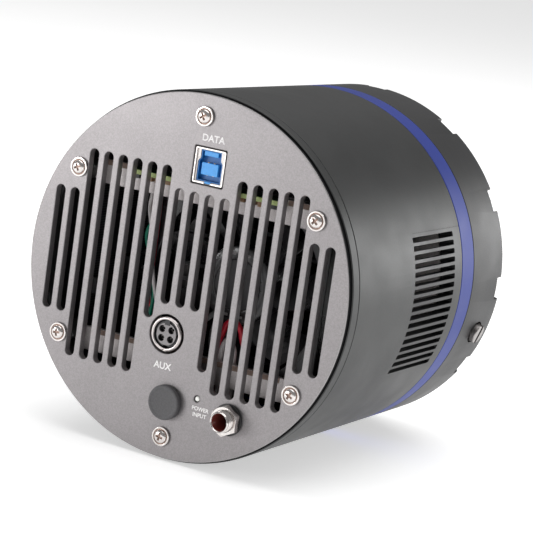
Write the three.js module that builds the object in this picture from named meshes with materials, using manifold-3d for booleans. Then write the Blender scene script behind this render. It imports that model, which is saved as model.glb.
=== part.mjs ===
// Cooled astronomy camera with a medium-format sensor, 130 mm across.
// Millimetres. +Y is the optical axis and points to the telescope, +Z is up, and +X is to the
// right for someone looking at the rear plate. The origin is the centre of the telescope-side face.
// "Station" means a distance along the optical axis, forward from the rear face of the rear plate.
import * as THREE from "three";
import { mergeVertices } from "three/addons/utils/BufferGeometryUtils.js";
import Module from "manifold-3d";

const wasm = await Module();
wasm.setup();

// ---------------------------------------------------------------- driving dimensions
const GAP = 0.3; // left between two pieces that touch
const OVERLAP = 0.8; // by which the joined solids of one piece run into each other

// Outer casing, from the rear plate to the telescope
const BODY_RADIUS = 65;
const SHELL_WALL = 3;
const PLATE_RIM_INSET = 0.7;
const PLATE_THICKNESS = 3;
const PLATE_PROUD = 1.6; // how far the plate's rim stands behind the rear ring
const REAR_RING_WIDTH = 4.5;
const SHELL_LENGTH = 82.1;
const ACCENT_WIDTH = 10;
const HOUSING_LENGTH = 28.6;
const HOUSING_CORNER = 3;
const HOUSING_CORNER_STEPS = 3;
const ADAPTER_THICKNESS = 9.7;
const ADAPTER_RADIUS = 54;
const ADAPTER_BORE = 42;
const FRONT_CLOCKING = -1.3; // degrees that the casing is turned from the rear plate

// Rear plate: upright round-ended slots and the ports between them
const SLOT_PITCH = 6.09;
const SLOT_WIDTH = 3.7;
const SLOT_ARC_STEPS = 4;
const SLOT_TALL = 35.6; // centre height of a long slot's end arc
const SLOT_SHORT = 20.5; // the same for the two outermost slots on each side
const SLOT_BESIDE_USB_TOP = 28.5;
const SLOT_ABOVE_AUX_FOOT = -8.5;
const SLOT_LEFT_OF_AUX_FOOT = -14.6;
const SLOT_RIGHT_OF_AUX_FOOT = -28.7;

// Rear plate screws
const PLATE_SCREW_INSET = 8.3; // from the casing's outside to the screws' circle
const PLATE_SCREW_ANGLES = [90, 32, -32, -90, -148, 148]; // degrees from +X towards +Z
const PLATE_SCREW_SHANK = 1.5;
const PLATE_SCREW_LENGTH = 9;
const PLATE_SCREW_WASHER_RADIUS = 3.7;
const PLATE_SCREW_WASHER_HEIGHT = 0.6;
const PLATE_SCREW_HEAD_RADIUS = 2.6;
const PLATE_SCREW_HEAD_HEIGHT = 0.9;
const HEAD_CROWN = 0.62; // radius of a screw head's flat crown, as a share of the head's
const HEAD_SHOULDER = 0.94;
const HEAD_SHOULDER_RISE = 0.6;
const LUG_WIDTH = 6.4;
const LUG_DEPTH = 5.8;
const LUG_REACH = 3.2; // from the screw's axis towards the camera's axis
const RING_MOUTH_LIP = 1; // how far the ring's mouth stands in from the shell's bore
const RING_SHELF_WIDTH = 1.8;
const RING_SPIGOT_LENGTH = 5;

// Ports, as seen from behind: x to the right, z up
const USB = { x: 4, z: 39.9, width: 12.1, height: 12.4, depth: 12, tongueRecess: 0.8 };
const USB_RIM = { wall: 0.5, depth: 0.5 };
const USB_CLEARANCE = 0.4;
const USB_FRONT = 0.2;
const USB_MOUTH = { wide: 4.9, narrow: 4.1, tall: 5.5, shoulder: 1.4, neck: 2.5 };
const USB_BACK = 3; // thickness of the moulding behind the tongues
const USB_LOWER_TONGUE = { width: 6.6, height: 4.2, rise: -1 };
const USB_UPPER_TONGUE = { width: 5.6, height: 1.6, rise: 4.3 };
const AUX = { x: -3.6, z: -20.7, radius: 6.2, bore: 5, front: -0.6, insertRecess: 0.4, chamfer: 0.5 };
const AUX_FAN_CLEARANCE = 3;
const AUX_KEY = { width: 1.6, height: 1.4, inset: 0.9 };
const AUX_CLEARANCE = 0.85;
const AUX_PIN_SPREAD = 1.87;
const AUX_PIN_RISE = 1.62;
const AUX_PIN_HOLE = 1.25;
const AUX_PIN_DEPTH = 6;
const JACK = { x: 25.5, z: -44.3, radius: 3.9, bore: 3, proud: 6.8, pinRadius: 1, chamfer: 0.5 };
const JACK_BOARD_CLEARANCE = 0.4;
const JACK_PIN_RECESS = 6.4;
const JACK_FLOOR = 1.5;
const JACK_NUT_FLATS = 9.8;
const JACK_NUT_HEIGHT = 2.4;
const JACK_NUT_TURN = 28; // degrees from +X to its first corner
const JACK_WASHER_RADIUS = 5.7;
const JACK_WASHER_THICKNESS = 0.7;
const LED = { x: 12, z: -40.3, hole: 1.25, radius: 0.95, recess: 0.2 };
const PLUG = { x: 0.1, z: -44.2, headRadius: 6.3, proud: 2.2, stemRadius: 5.2, stemLength: 6, taper: 0.8 };
const PLUG_EDGE = 0.5;

// Side vents: slots that run along the body, one bank on each side
const VENT_COUNT = 17;
const VENT_PITCH = 2.706; // degrees
const VENT_WIDTH = 1.9;
const VENT_LENGTH = 33.3;
const VENT_FRONT_LAND = 6.3; // from the vents to the front edge of the shell
const VENT_CENTRE = -1.65; // degrees from +X, and mirrored on the -X side

// Front rim notches and their screws
const NOTCH_COUNT = 12;
const NOTCH_WIDTH = 8.6;
const NOTCH_DEPTH = 5.8;
const RIM_SCREW_INSET = 3.5; // from the casing's outside to the screws' circle
const RIM_SCREW_HEAD = 2.8;
const RIM_SCREW_HEAD_HEIGHT = 3.2;
const RIM_SCREW_SHANK = 1.4;
const RIM_SCREW_LENGTH = 8;

// Dry-air port in the front housing, closed by a slotted screw
const PORT_SETBACK = 13.6; // from the housing's front face
const PORT_ANGLE = -16.2;
const PORT_THREAD_RADIUS = 3;
const PORT_HEAD_RADIUS = 3.7;
const PORT_HEAD_HEIGHT = 2.8;
const PORT_SLOT = { width: 1.8, depth: 1.9, turn: 81 }; // turned from the body's length
const PORT_SEAT = { depth: 1.1, clearance: 0.8 };

// Fan behind the slots
const FAN = { x: 12, z: -1.5, size: 70, depth: 15, setback: 13, wall: 1.6 };
const FAN_HUB_STEP = 0.8; // between the frame's rear face and the hub
const FAN_TIP_CLEARANCE = 0.8;
const FAN_ROTOR_CLEARANCE = 0.6;
const FAN_HUB_CHAMFER = 1;
const FAN_BOSS = { wall: 1.6, length: 2, floor: 0.8 };
const FAN_HUB_RADIUS = 14;
const FAN_HUB_WALL = 1.6;
const FAN_BLADES = 7;
const FAN_BLADE_CHORD = 15;
const FAN_BLADE_THICKNESS = 1.3;
const FAN_BLADE_PITCH = 38; // degrees
const FAN_STRUTS = 4;
const FAN_STRUT_WIDTH = 3;
const FAN_STRUT_DEPTH = 2.4;
const FAN_SHAFT_RADIUS = 1.5;
const FAN_HOLE_INSET = 4.5;
const FAN_HOLE_RADIUS = 1.8;
const FAN_POST_INSET = 6.5;

// Clamp bars that hold the fan
const BAR_WIDTH = 8.6;
const BAR_THICKNESS = 2;
const BAR_POST_RADIUS = 2.2;
const BAR_CORNER = 6;
const BAR_END_CLEARANCE = 0.6; // from the bars' ends to the rear ring's shelf

// Circuit boards
const BOARD_THICKNESS = 1.6;
const BOARD_LUG_CLEARANCE = 1.1;
const IO_BOARD = { width: 62, setback: 2, depth: 10.5, clearance: 1 }; // level, under the USB socket
const POWER_BOARD_SETBACK = 9.4;
const POWER_BOARD_TOP = -40.5;
const BOARD_ARC_STEPS = 16;
const MAIN_BOARD = { clearance: 8.5, depth: 40, height: 56 }; // upright, beside the heat sink
const CHIP = { thickness: 1.6, width: 15, setback: 10, depth: 15, rise: 4 };
const CHOKE = { thickness: 2.4, width: 6, setback: 4, depth: 12, rise: -15 };

// Cooling stack
const SINK = { width: 84, height: 76, base: 4, fins: 14, fin: 1.4, spine: 5 };
const SINK_FAN_GAP = 9;
const SINK_FRONT_INSET = 6.8; // from the front edge of the shell
const COOLER_SIZE = 40;
const COOLER_THICKNESS = 4;
const COOLER_CERAMIC = 0.8;
const COOLER_INSET = 1.2;
const INSULATION_RADIUS = 46;
const BULKHEAD_THICKNESS = 3;
const BULKHEAD_HOLE = 28.6;
const COLD_BLOCK = { width: 40, height: 34, base: 5, neckWidth: 34, neckHeight: 28, neck: 11.6 };

// Sensor chamber
const SENSOR_BOARD = { width: 88, height: 72, openingMargin: 2 };
const PACKAGE = { width: 58, height: 48, thickness: 3.5, recess: 1.4, frame: 5 };
const SENSOR = { width: 44, height: 33, thickness: 0.8 };
const WINDOW_RADIUS = 38;
const WINDOW_THICKNESS = 4;
const WINDOW_SETBACK = 10.7; // from the housing's front face
const SEAL_THICKNESS = 0.6;
const SEAL_WIDTH = 2.4;
const WINDOW_LEDGE = 3;
const FRONT_WALL = 14;
const RETAINER_THICKNESS = 3;
const RETAINER_OVERHANG = 3.5; // of the retainer's outside past the window's edge
const RETAINER_HOLD = 3.5; // of the retainer over the window's face
const RETAINER_SPANNER_SLOT = { width: 2.4, depth: 1.4 };
const ADAPTER_CHAMFER = 1;
const ADAPTER_GROOVE = { land: 3.2, depth: 1.6, slope: 1 };
const SPIGOT_INTO_SHELL = 2.4;
const SPIGOT_WALL = 3.2;
const ACCENT_WALL = 4;

// Internal wires
const FAN_WIRE_RADIUS = 0.7;
const SUPPLY_WIRE_RADIUS = 1;
const WIRE_SIDES = 6;
const WIRE_STEPS = 3; // between two of its points
const WIRE_END_CLEARANCE = 0.5; // from a wire's end to the board it goes to

const ROUND = 48; // sides of the casing's round pieces
const MEDIUM_ROUND = 36; // sides of the round pieces inside
const SMALL_ROUND = 18; // sides of the ports
const SCREW_ROUND = 10; // sides of screws and their holes

// ---------------------------------------------------------------- stations along the axis
const RING_START = PLATE_PROUD + GAP;
const RING_END = RING_START + REAR_RING_WIDTH;
const SHELL_START = RING_END + GAP;
const SHELL_END = SHELL_START + SHELL_LENGTH;
const ACCENT_START = SHELL_END + GAP;
const ACCENT_END = ACCENT_START + ACCENT_WIDTH;
const HOUSING_START = ACCENT_END + GAP;
const HOUSING_END = HOUSING_START + HOUSING_LENGTH;
const ADAPTER_START = HOUSING_END + GAP;
const TOTAL_LENGTH = ADAPTER_START + ADAPTER_THICKNESS;

const SHELL_BORE = BODY_RADIUS - SHELL_WALL;
const ACCENT_BORE = BODY_RADIUS - ACCENT_WALL;
const SPIGOT_RADIUS = ACCENT_BORE - GAP;
const SPIGOT_BORE = SPIGOT_RADIUS - SPIGOT_WALL;
const SPIGOT_START = SHELL_END - SPIGOT_INTO_SHELL;

const PLATE_RADIUS = BODY_RADIUS - PLATE_RIM_INSET;
const RING_MOUTH = SHELL_BORE - RING_MOUTH_LIP;
const RING_SHELF = RING_MOUTH - RING_SHELF_WIDTH;
const SHELF_STATION = PLATE_THICKNESS + GAP;
const PLATE_SCREW_CIRCLE = BODY_RADIUS - PLATE_SCREW_INSET;
const RIM_SCREW_CIRCLE = BODY_RADIUS - RIM_SCREW_INSET;
const LUG_INNER = PLATE_SCREW_CIRCLE - LUG_REACH;
const POWER_BOARD_RADIUS = LUG_INNER - BOARD_LUG_CLEARANCE;

const VENT_END = SHELL_END - VENT_FRONT_LAND;
const VENT_START = VENT_END - VENT_LENGTH;
const NOTCH_FLOOR = HOUSING_END - NOTCH_DEPTH;
const PORT_STATION = HOUSING_END - PORT_SETBACK;

const BAR_STATION = SHELF_STATION + LUG_DEPTH + GAP; // the bars rest on the lugs
const BAR_END = BAR_STATION + BAR_THICKNESS;
const BAR_REACH = RING_SHELF - BAR_END_CLEARANCE;
const IO_BOARD_STATION = PLATE_THICKNESS + IO_BOARD.setback;
const IO_BOARD_TOP = USB.z - USB.height / 2 - IO_BOARD.clearance;
const IO_BOARD_FOOT = IO_BOARD_TOP - BOARD_THICKNESS;
const POWER_BOARD_STATION = PLATE_THICKNESS + POWER_BOARD_SETBACK;
const FAN_STATION = PLATE_THICKNESS + FAN.setback;
const FAN_END = FAN_STATION + FAN.depth;
const BAR_RISE = FAN.size / 2 - FAN_HOLE_INSET; // the bars lie over the fan's mounting holes
const AUX_END = FAN_STATION - AUX_FAN_CLEARANCE;
const JACK_END = POWER_BOARD_STATION - JACK_BOARD_CLEARANCE;

const SINK_START = FAN_END + SINK_FAN_GAP;
const SINK_END = SHELL_END - SINK_FRONT_INSET;
const COOLER_START = SINK_END + GAP;
const COOLER_END = COOLER_START + COOLER_THICKNESS;
const COLD_BLOCK_START = COOLER_END + GAP;
const COLD_NECK_START = COLD_BLOCK_START + COLD_BLOCK.base;
const COLD_NECK_END = COLD_NECK_START + COLD_BLOCK.neck;
const SENSOR_BOARD_STATION = COLD_NECK_END - BOARD_THICKNESS;
const WINDOW_STATION = HOUSING_END - WINDOW_SETBACK;
const WINDOW_END = WINDOW_STATION + WINDOW_THICKNESS;
const SEAL_STATION = WINDOW_STATION - GAP - SEAL_THICKNESS;

// y of a station
const yAt = (station) => station - TOTAL_LENGTH;
const radians = THREE.MathUtils.degToRad;

// ---------------------------------------------------------------- making solids
function toSolid(geometry) {
  const bare = new THREE.BufferGeometry();
  bare.setAttribute("position", geometry.getAttribute("position"));
  bare.setIndex(geometry.getIndex());
  const merged = mergeVertices(bare, 1e-4);
  const mesh = new wasm.Mesh({
    numProp: 3,
    vertProperties: merged.attributes.position.array,
    triVerts: new Uint32Array(merged.index.array),
  });
  return new wasm.Manifold(mesh);
}

function toGeometry(solid) {
  const mesh = solid.getMesh();
  const geometry = new THREE.BufferGeometry();
  geometry.setAttribute("position", new THREE.BufferAttribute(new Float32Array(mesh.vertProperties), 3));
  geometry.setIndex(new THREE.BufferAttribute(new Uint32Array(mesh.triVerts), 1));
  geometry.computeVertexNormals();
  return geometry;
}

// A turned piece. The profile is a list of [radius, y], anticlockwise with y upward.
function turned(profile, sides, closed = true) {
  const points = profile.map(([radius, y]) => new THREE.Vector2(radius, y));
  if (closed) points.push(points[0].clone());
  return toSolid(new THREE.LatheGeometry(points, sides));
}

// A plain tube between two stations.
function tube(inner, outer, from, to, sides = ROUND) {
  const [low, high] = [yAt(from), yAt(to)];
  return turned([[inner, low], [outer, low], [outer, high], [inner, high]], sides);
}

// A plain disc or pin between two stations, on an axis at x, z.
function pin(radius, from, to, x = 0, z = 0, sides = SMALL_ROUND) {
  const [low, high] = [yAt(from), yAt(to)];
  const made = turned([[0, low], [radius, low], [radius, high], [0, high]], sides, false);
  return made.translate([x, 0, z]);
}

// An outline in x and z, given its thickness between two stations.
function slab(shape, from, to) {
  const geometry = new THREE.ExtrudeGeometry(shape, { depth: to - from, bevelEnabled: false });
  geometry.rotateX(Math.PI / 2);
  geometry.translate(0, yAt(to), 0);
  return toSolid(geometry);
}

// A box between two stations.
function block(width, height, from, to, x = 0, z = 0) {
  const geometry = new THREE.BoxGeometry(width, to - from, height);
  geometry.translate(x, yAt((from + to) / 2), z);
  return toSolid(geometry);
}

function rectangle(width, height, x = 0, z = 0) {
  const [halfWidth, halfHeight] = [width / 2, height / 2];
  return new THREE.Shape([
    new THREE.Vector2(x - halfWidth, z - halfHeight),
    new THREE.Vector2(x + halfWidth, z - halfHeight),
    new THREE.Vector2(x + halfWidth, z + halfHeight),
    new THREE.Vector2(x - halfWidth, z + halfHeight),
  ]);
}

// Points along an arc, from one angle to another in degrees, both ends included.
function arc(x, z, radius, from, to, steps) {
  return Array.from({ length: steps + 1 }, (unused, step) => {
    const angle = radians(from + ((to - from) * step) / steps);
    return new THREE.Vector2(x + radius * Math.cos(angle), z + radius * Math.sin(angle));
  });
}

function circle(radius, sides = MEDIUM_ROUND) {
  return new THREE.Shape(arc(0, 0, radius, 0, 360 - 360 / sides, sides - 1));
}

// A point at a radius and an angle from +X towards +Z.
function onCircle(radius, degrees) {
  const angle = radians(degrees);
  return { x: radius * Math.cos(angle), z: radius * Math.sin(angle) };
}

// Turns a solid about the optical axis, from +X towards +Z.
function turnedRound(solid, degrees) {
  return solid.rotate([0, -degrees, 0]);
}

function joined(solids) {
  return solids.reduce((whole, piece) => whole.add(piece));
}

// ---------------------------------------------------------------- materials and the assembly
const finish = (color, roughness, metalness) => ({ color, roughness, metalness });
const FINISHES = {
  plateGrey: finish(0x8d888a, 0.5, 0.6),
  shellGrey: finish(0x4b4c4d, 0.5, 0.5),
  accentBlue: finish(0x2a3a9c, 0.4, 0.5),
  nickel: finish(0xd6d0cc, 0.25, 1),
  steel: finish(0xa9a9ab, 0.35, 1),
  aluminium: finish(0xb9b4b2, 0.45, 0.9),
  blackAnodise: finish(0x161616, 0.5, 0.5),
  blackPlastic: finish(0x141414, 0.55, 0),
  rubber: finish(0x3a393b, 0.8, 0),
  usbBlue: finish(0x1d6fc0, 0.45, 0),
  insertGrey: finish(0x9c9799, 0.5, 0),
  ledWhite: finish(0xf4f4f0, 0.35, 0),
  boardGreen: finish(0x24402a, 0.5, 0),
  boardBlack: finish(0x151719, 0.5, 0),
  ceramic: finish(0xe8e4da, 0.6, 0),
  foam: finish(0x26282a, 0.95, 0),
  glass: finish(0xa8bcc4, 0.05, 0),
  silicon: finish(0x2b2a3c, 0.2, 0.3),
  wireGreen: finish(0x0f8a63, 0.5, 0),
  wireWhite: finish(0xe6e2e0, 0.5, 0),
  wireRed: finish(0xc8202e, 0.5, 0),
};

const camera = new THREE.Group();

function add(name, solid, finishName) {
  const material = new THREE.MeshStandardMaterial(FINISHES[finishName]);
  const mesh = new THREE.Mesh(toGeometry(solid), material);
  mesh.name = name;
  camera.add(mesh);
}

// ---------------------------------------------------------------- casing
// One row for each upright slot, counted from the middle one: [foot, head] of its end-arc centres.
function slotSpan(index) {
  if (Math.abs(index) >= 8) return [-SLOT_SHORT, SLOT_SHORT];
  if (index === -2) return [SLOT_LEFT_OF_AUX_FOOT, SLOT_TALL];
  if (index >= -1 && index <= 1) return [SLOT_ABOVE_AUX_FOOT, SLOT_BESIDE_USB_TOP];
  if (index === 2) return [SLOT_RIGHT_OF_AUX_FOOT, SLOT_BESIDE_USB_TOP];
  return [-SLOT_TALL, SLOT_TALL];
}

function slotHole(index) {
  const [foot, head] = slotSpan(index);
  const x = index * SLOT_PITCH;
  const radius = SLOT_WIDTH / 2;
  const upper = arc(x, head, radius, 0, 180, SLOT_ARC_STEPS);
  const lower = arc(x, foot, radius, 180, 360, SLOT_ARC_STEPS);
  return new THREE.Path([...upper, ...lower]);
}

function makeRearPlate() {
  const outline = circle(PLATE_RADIUS, ROUND);
  for (let index = -9; index <= 9; index += 1) outline.holes.push(slotHole(index));
  const opening = 2 * USB_CLEARANCE;
  outline.holes.push(rectangle(USB.width + opening, USB.height + opening, USB.x, USB.z));
  const plate = slab(outline, 0, PLATE_THICKNESS);
  const rebate = tube(RING_MOUTH - GAP, BODY_RADIUS + 1, PLATE_PROUD, PLATE_THICKNESS + 1);
  const past = [-1, PLATE_THICKNESS + 1];
  const holes = [
    pin(AUX.radius + AUX_CLEARANCE, ...past, AUX.x, AUX.z),
    pin(JACK.radius + GAP, ...past, JACK.x, JACK.z),
    pin(LED.hole, ...past, LED.x, LED.z, SCREW_ROUND),
    pin(PLUG.stemRadius + GAP, ...past, PLUG.x, PLUG.z),
  ];
  for (const angle of PLATE_SCREW_ANGLES) {
    const { x, z } = onCircle(PLATE_SCREW_CIRCLE, angle);
    holes.push(pin(PLATE_SCREW_SHANK + GAP, ...past, x, z, SCREW_ROUND));
  }
  add("rear_plate", plate.subtract(rebate).subtract(joined(holes)), "plateGrey");
}

function makeRearRing() {
  const spigotEnd = RING_END + RING_SPIGOT_LENGTH;
  const ring = turned([
    [RING_MOUTH, yAt(RING_START)],
    [BODY_RADIUS, yAt(RING_START)],
    [BODY_RADIUS, yAt(RING_END)],
    [SHELL_BORE - GAP, yAt(RING_END)],
    [SHELL_BORE - GAP, yAt(spigotEnd)],
    [RING_SHELF, yAt(spigotEnd)],
    [RING_SHELF, yAt(SHELF_STATION)],
    [RING_MOUTH, yAt(SHELF_STATION)],
  ], ROUND);
  const lugs = PLATE_SCREW_ANGLES.map((angle) => {
    const outer = RING_SHELF + OVERLAP;
    const middle = (LUG_INNER + outer) / 2;
    const lug = block(outer - LUG_INNER, LUG_WIDTH, SHELF_STATION, SHELF_STATION + LUG_DEPTH, middle);
    return turnedRound(lug, angle);
  });
  const holes = PLATE_SCREW_ANGLES.map((angle) => {
    const { x, z } = onCircle(PLATE_SCREW_CIRCLE, angle);
    const end = SHELF_STATION + LUG_DEPTH + 1;
    return pin(PLATE_SCREW_SHANK + GAP, SHELF_STATION - 1, end, x, z, SCREW_ROUND);
  });
  add("rear_ring", joined([ring, ...lugs]).subtract(joined(holes)), "shellGrey");
}

function makeMainShell() {
  const shell = tube(SHELL_BORE, BODY_RADIUS, SHELL_START, SHELL_END);
  const reach = SHELL_WALL + 4;
  const cutter = block(reach, VENT_WIDTH, VENT_START, VENT_END, BODY_RADIUS - SHELL_WALL / 2);
  const vents = [];
  for (let index = 0; index < VENT_COUNT; index += 1) {
    const angle = VENT_CENTRE + (index - (VENT_COUNT - 1) / 2) * VENT_PITCH;
    vents.push(turnedRound(cutter, angle));
    vents.push(turnedRound(cutter, 180 - angle));
  }
  add("main_shell", shell.subtract(joined(vents)), "shellGrey");
}

function makeAccentRing() {
  add("accent_ring", tube(ACCENT_BORE, BODY_RADIUS, ACCENT_START, ACCENT_END), "accentBlue");
}

function makeFrontHousing() {
  const seat = SEAL_STATION - GAP;
  const bore = WINDOW_RADIUS + GAP;
  const front = yAt(HOUSING_END);
  const corner = [];
  for (let step = 0; step <= HOUSING_CORNER_STEPS; step += 1) {
    const angle = radians((step * 90) / HOUSING_CORNER_STEPS);
    const radius = BODY_RADIUS - HOUSING_CORNER + HOUSING_CORNER * Math.cos(angle);
    corner.push([radius, front - HOUSING_CORNER + HOUSING_CORNER * Math.sin(angle)]);
  }
  const housing = turned([
    [SPIGOT_BORE, yAt(SPIGOT_START)],
    [SPIGOT_RADIUS, yAt(SPIGOT_START)],
    [SPIGOT_RADIUS, yAt(HOUSING_START)],
    [BODY_RADIUS, yAt(HOUSING_START)],
    ...corner,
    [WINDOW_RADIUS + RETAINER_OVERHANG + GAP, front],
    [WINDOW_RADIUS + RETAINER_OVERHANG + GAP, yAt(WINDOW_END + GAP)],
    [bore, yAt(WINDOW_END + GAP)],
    [bore, yAt(seat)],
    [WINDOW_RADIUS - WINDOW_LEDGE, yAt(seat)],
    [WINDOW_RADIUS - WINDOW_LEDGE, yAt(HOUSING_END - FRONT_WALL)],
    [SPIGOT_BORE, yAt(HOUSING_END - FRONT_WALL)],
  ], ROUND);
  const cuts = [];
  for (let index = 0; index < NOTCH_COUNT; index += 1) {
    const angle = FRONT_CLOCKING + (index * 360) / NOTCH_COUNT;
    const { x, z } = onCircle(RIM_SCREW_CIRCLE, angle);
    cuts.push(pin(NOTCH_WIDTH / 2, NOTCH_FLOOR, HOUSING_END + 1, x, z, SCREW_ROUND));
    const mouthWidth = BODY_RADIUS + 2 - RIM_SCREW_CIRCLE;
    const mouthX = (BODY_RADIUS + 2 + RIM_SCREW_CIRCLE) / 2;
    const mouth = block(mouthWidth, NOTCH_WIDTH, NOTCH_FLOOR, HOUSING_END + 1, mouthX);
    cuts.push(turnedRound(mouth, angle));
    const holeEnd = NOTCH_FLOOR - RIM_SCREW_LENGTH - 1;
    cuts.push(pin(RIM_SCREW_SHANK + GAP, holeEnd, NOTCH_FLOOR + 1, x, z, SCREW_ROUND));
  }
  cuts.push(portSolid(PORT_THREAD_RADIUS + GAP, SPIGOT_BORE - 2, BODY_RADIUS + 1));
  const seatRadius = PORT_HEAD_RADIUS + PORT_SEAT.clearance;
  cuts.push(portSolid(seatRadius, BODY_RADIUS - PORT_SEAT.depth, BODY_RADIUS + 2));
  add("front_housing", housing.subtract(joined(cuts)), "shellGrey");
}

// A round solid on the dry-air port's axis, between two radii from the optical axis.
function portSolid(radius, from, to) {
  const made = turned([[0, from], [radius, from], [radius, to], [0, to]], SMALL_ROUND, false);
  return turnedRound(made.rotate([0, 0, -90]), PORT_ANGLE).translate([0, yAt(PORT_STATION), 0]);
}

function makePortScrew() {
  const seat = BODY_RADIUS - PORT_SEAT.depth + GAP;
  const crown = seat + PORT_HEAD_HEIGHT;
  const head = portSolid(PORT_HEAD_RADIUS, seat, crown);
  const thread = portSolid(PORT_THREAD_RADIUS, SPIGOT_BORE + GAP, seat + OVERLAP);
  const slotLength = 2 * PORT_HEAD_RADIUS + 2;
  const slotGeometry = new THREE.BoxGeometry(2 * PORT_SLOT.depth, slotLength, PORT_SLOT.width);
  slotGeometry.rotateX(radians(PORT_SLOT.turn));
  slotGeometry.translate(crown, 0, 0);
  const slot = turnedRound(toSolid(slotGeometry), PORT_ANGLE).translate([0, yAt(PORT_STATION), 0]);
  add("port_screw", head.add(thread).subtract(slot), "nickel");
}

function makeAdapterRing() {
  const { land, depth, slope } = ADAPTER_GROOVE;
  const [low, high] = [yAt(ADAPTER_START), yAt(TOTAL_LENGTH)];
  const grooveLow = low + land;
  const grooveHigh = high - land;
  add("adapter_ring", turned([
    [ADAPTER_BORE, low],
    [ADAPTER_RADIUS, low],
    [ADAPTER_RADIUS, grooveLow],
    [ADAPTER_RADIUS - depth, grooveLow + slope],
    [ADAPTER_RADIUS - depth, grooveHigh - slope],
    [ADAPTER_RADIUS, grooveHigh],
    [ADAPTER_RADIUS, high - ADAPTER_CHAMFER],
    [ADAPTER_RADIUS - ADAPTER_CHAMFER, high],
    [ADAPTER_BORE + ADAPTER_CHAMFER, high],
    [ADAPTER_BORE, high - ADAPTER_CHAMFER],
  ], ROUND), "shellGrey");
}

// ---------------------------------------------------------------- screws
// The rounded side of a screw head, from its crown to its bearing face, with the head towards -Y.
function headProfile(radius, height, seat) {
  return [
    [0, seat - height],
    [radius * HEAD_CROWN, seat - height],
    [radius * HEAD_SHOULDER, seat - height * HEAD_SHOULDER_RISE],
    [radius, seat],
  ];
}

function makeRearScrews() {
  PLATE_SCREW_ANGLES.forEach((angle, index) => {
    const { x, z } = onCircle(PLATE_SCREW_CIRCLE, angle);
    const screw = turned([
      ...headProfile(PLATE_SCREW_HEAD_RADIUS, PLATE_SCREW_HEAD_HEIGHT, -PLATE_SCREW_WASHER_HEIGHT),
      [PLATE_SCREW_WASHER_RADIUS, -PLATE_SCREW_WASHER_HEIGHT],
      [PLATE_SCREW_WASHER_RADIUS, 0],
      [PLATE_SCREW_SHANK, 0],
      [PLATE_SCREW_SHANK, PLATE_SCREW_LENGTH],
      [0, PLATE_SCREW_LENGTH],
    ], SCREW_ROUND, false);
    add(`rear_screw_${index + 1}`, screw.translate([x, yAt(-GAP), z]), "nickel");
  });
}

function makeRimScrews() {
  for (let index = 0; index < NOTCH_COUNT; index += 1) {
    const angle = FRONT_CLOCKING + (index * 360) / NOTCH_COUNT;
    const { x, z } = onCircle(RIM_SCREW_CIRCLE, angle);
    const screw = turned([
      ...headProfile(RIM_SCREW_HEAD, RIM_SCREW_HEAD_HEIGHT, 0),
      [RIM_SCREW_SHANK, 0],
      [RIM_SCREW_SHANK, RIM_SCREW_LENGTH],
      [0, RIM_SCREW_LENGTH],
    ], SCREW_ROUND, false).rotate([180, 0, 0]);
    const seat = yAt(NOTCH_FLOOR + GAP);
    add(`rim_screw_${index + 1}`, screw.translate([x, seat, z]), "nickel");
  }
}

// ---------------------------------------------------------------- ports
// The mouth of the USB socket: a wide lower part, sloping shoulders and a narrow upper part.
function usbMouth(margin) {
  const { shoulder, neck } = USB_MOUTH;
  const wide = USB_MOUTH.wide - margin;
  const narrow = USB_MOUTH.narrow - margin;
  const tall = USB_MOUTH.tall - margin;
  const right = [[wide, -tall], [wide, shoulder], [narrow, neck], [narrow, tall]];
  const left = right.toReversed().map(([across, up]) => [-across, up]);
  return [...right, ...left].map(([across, up]) => new THREE.Vector2(USB.x + across, USB.z + up));
}

function usbTongue({ width, height, rise }) {
  return block(width, height, USB.tongueRecess, USB.depth - USB_BACK + OVERLAP, USB.x, USB.z + rise);
}

function makeUsbSocket() {
  const outline = rectangle(USB.width, USB.height, USB.x, USB.z);
  outline.holes.push(new THREE.Path(usbMouth(0)));
  const inside = [USB.width - 2 * USB_RIM.wall, USB.height - 2 * USB_RIM.wall];
  const recess = block(...inside, USB_FRONT - 1, USB_FRONT + USB_RIM.depth, USB.x, USB.z);
  add("usb_shell", slab(outline, USB_FRONT, USB.depth).subtract(recess), "nickel");
  const back = slab(new THREE.Shape(usbMouth(GAP)), USB.depth - USB_BACK, USB.depth);
  const tongues = [usbTongue(USB_LOWER_TONGUE), usbTongue(USB_UPPER_TONGUE)];
  add("usb_insulator", joined([back, ...tongues]), "usbBlue");
}

function makeAuxSocket() {
  const { x, z, radius, bore, front, insertRecess, chamfer } = AUX;
  const [low, high] = [yAt(front), yAt(AUX_END)];
  const shell = turned([
    [bore, low],
    [radius - chamfer, low],
    [radius, low + chamfer],
    [radius, high],
    [bore, high],
  ], SMALL_ROUND);
  add("aux_shell", shell.translate([x, 0, z]), "nickel");
  const start = front + insertRecess;
  const insert = pin(bore - GAP, start, AUX_END, x, z);
  const keyway = block(AUX_KEY.width, AUX_KEY.height, start - 1, AUX_END + 1, x, z + bore - AUX_KEY.inset);
  const holes = [keyway];
  for (const side of [-1, 1]) {
    for (const row of [-1, 1]) {
      const holeX = x + side * AUX_PIN_SPREAD;
      const holeZ = z + row * AUX_PIN_RISE;
      holes.push(pin(AUX_PIN_HOLE, start - 1, start + AUX_PIN_DEPTH, holeX, holeZ, SCREW_ROUND));
    }
  }
  add("aux_insert", insert.subtract(joined(holes)), "insertGrey");
}

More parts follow.
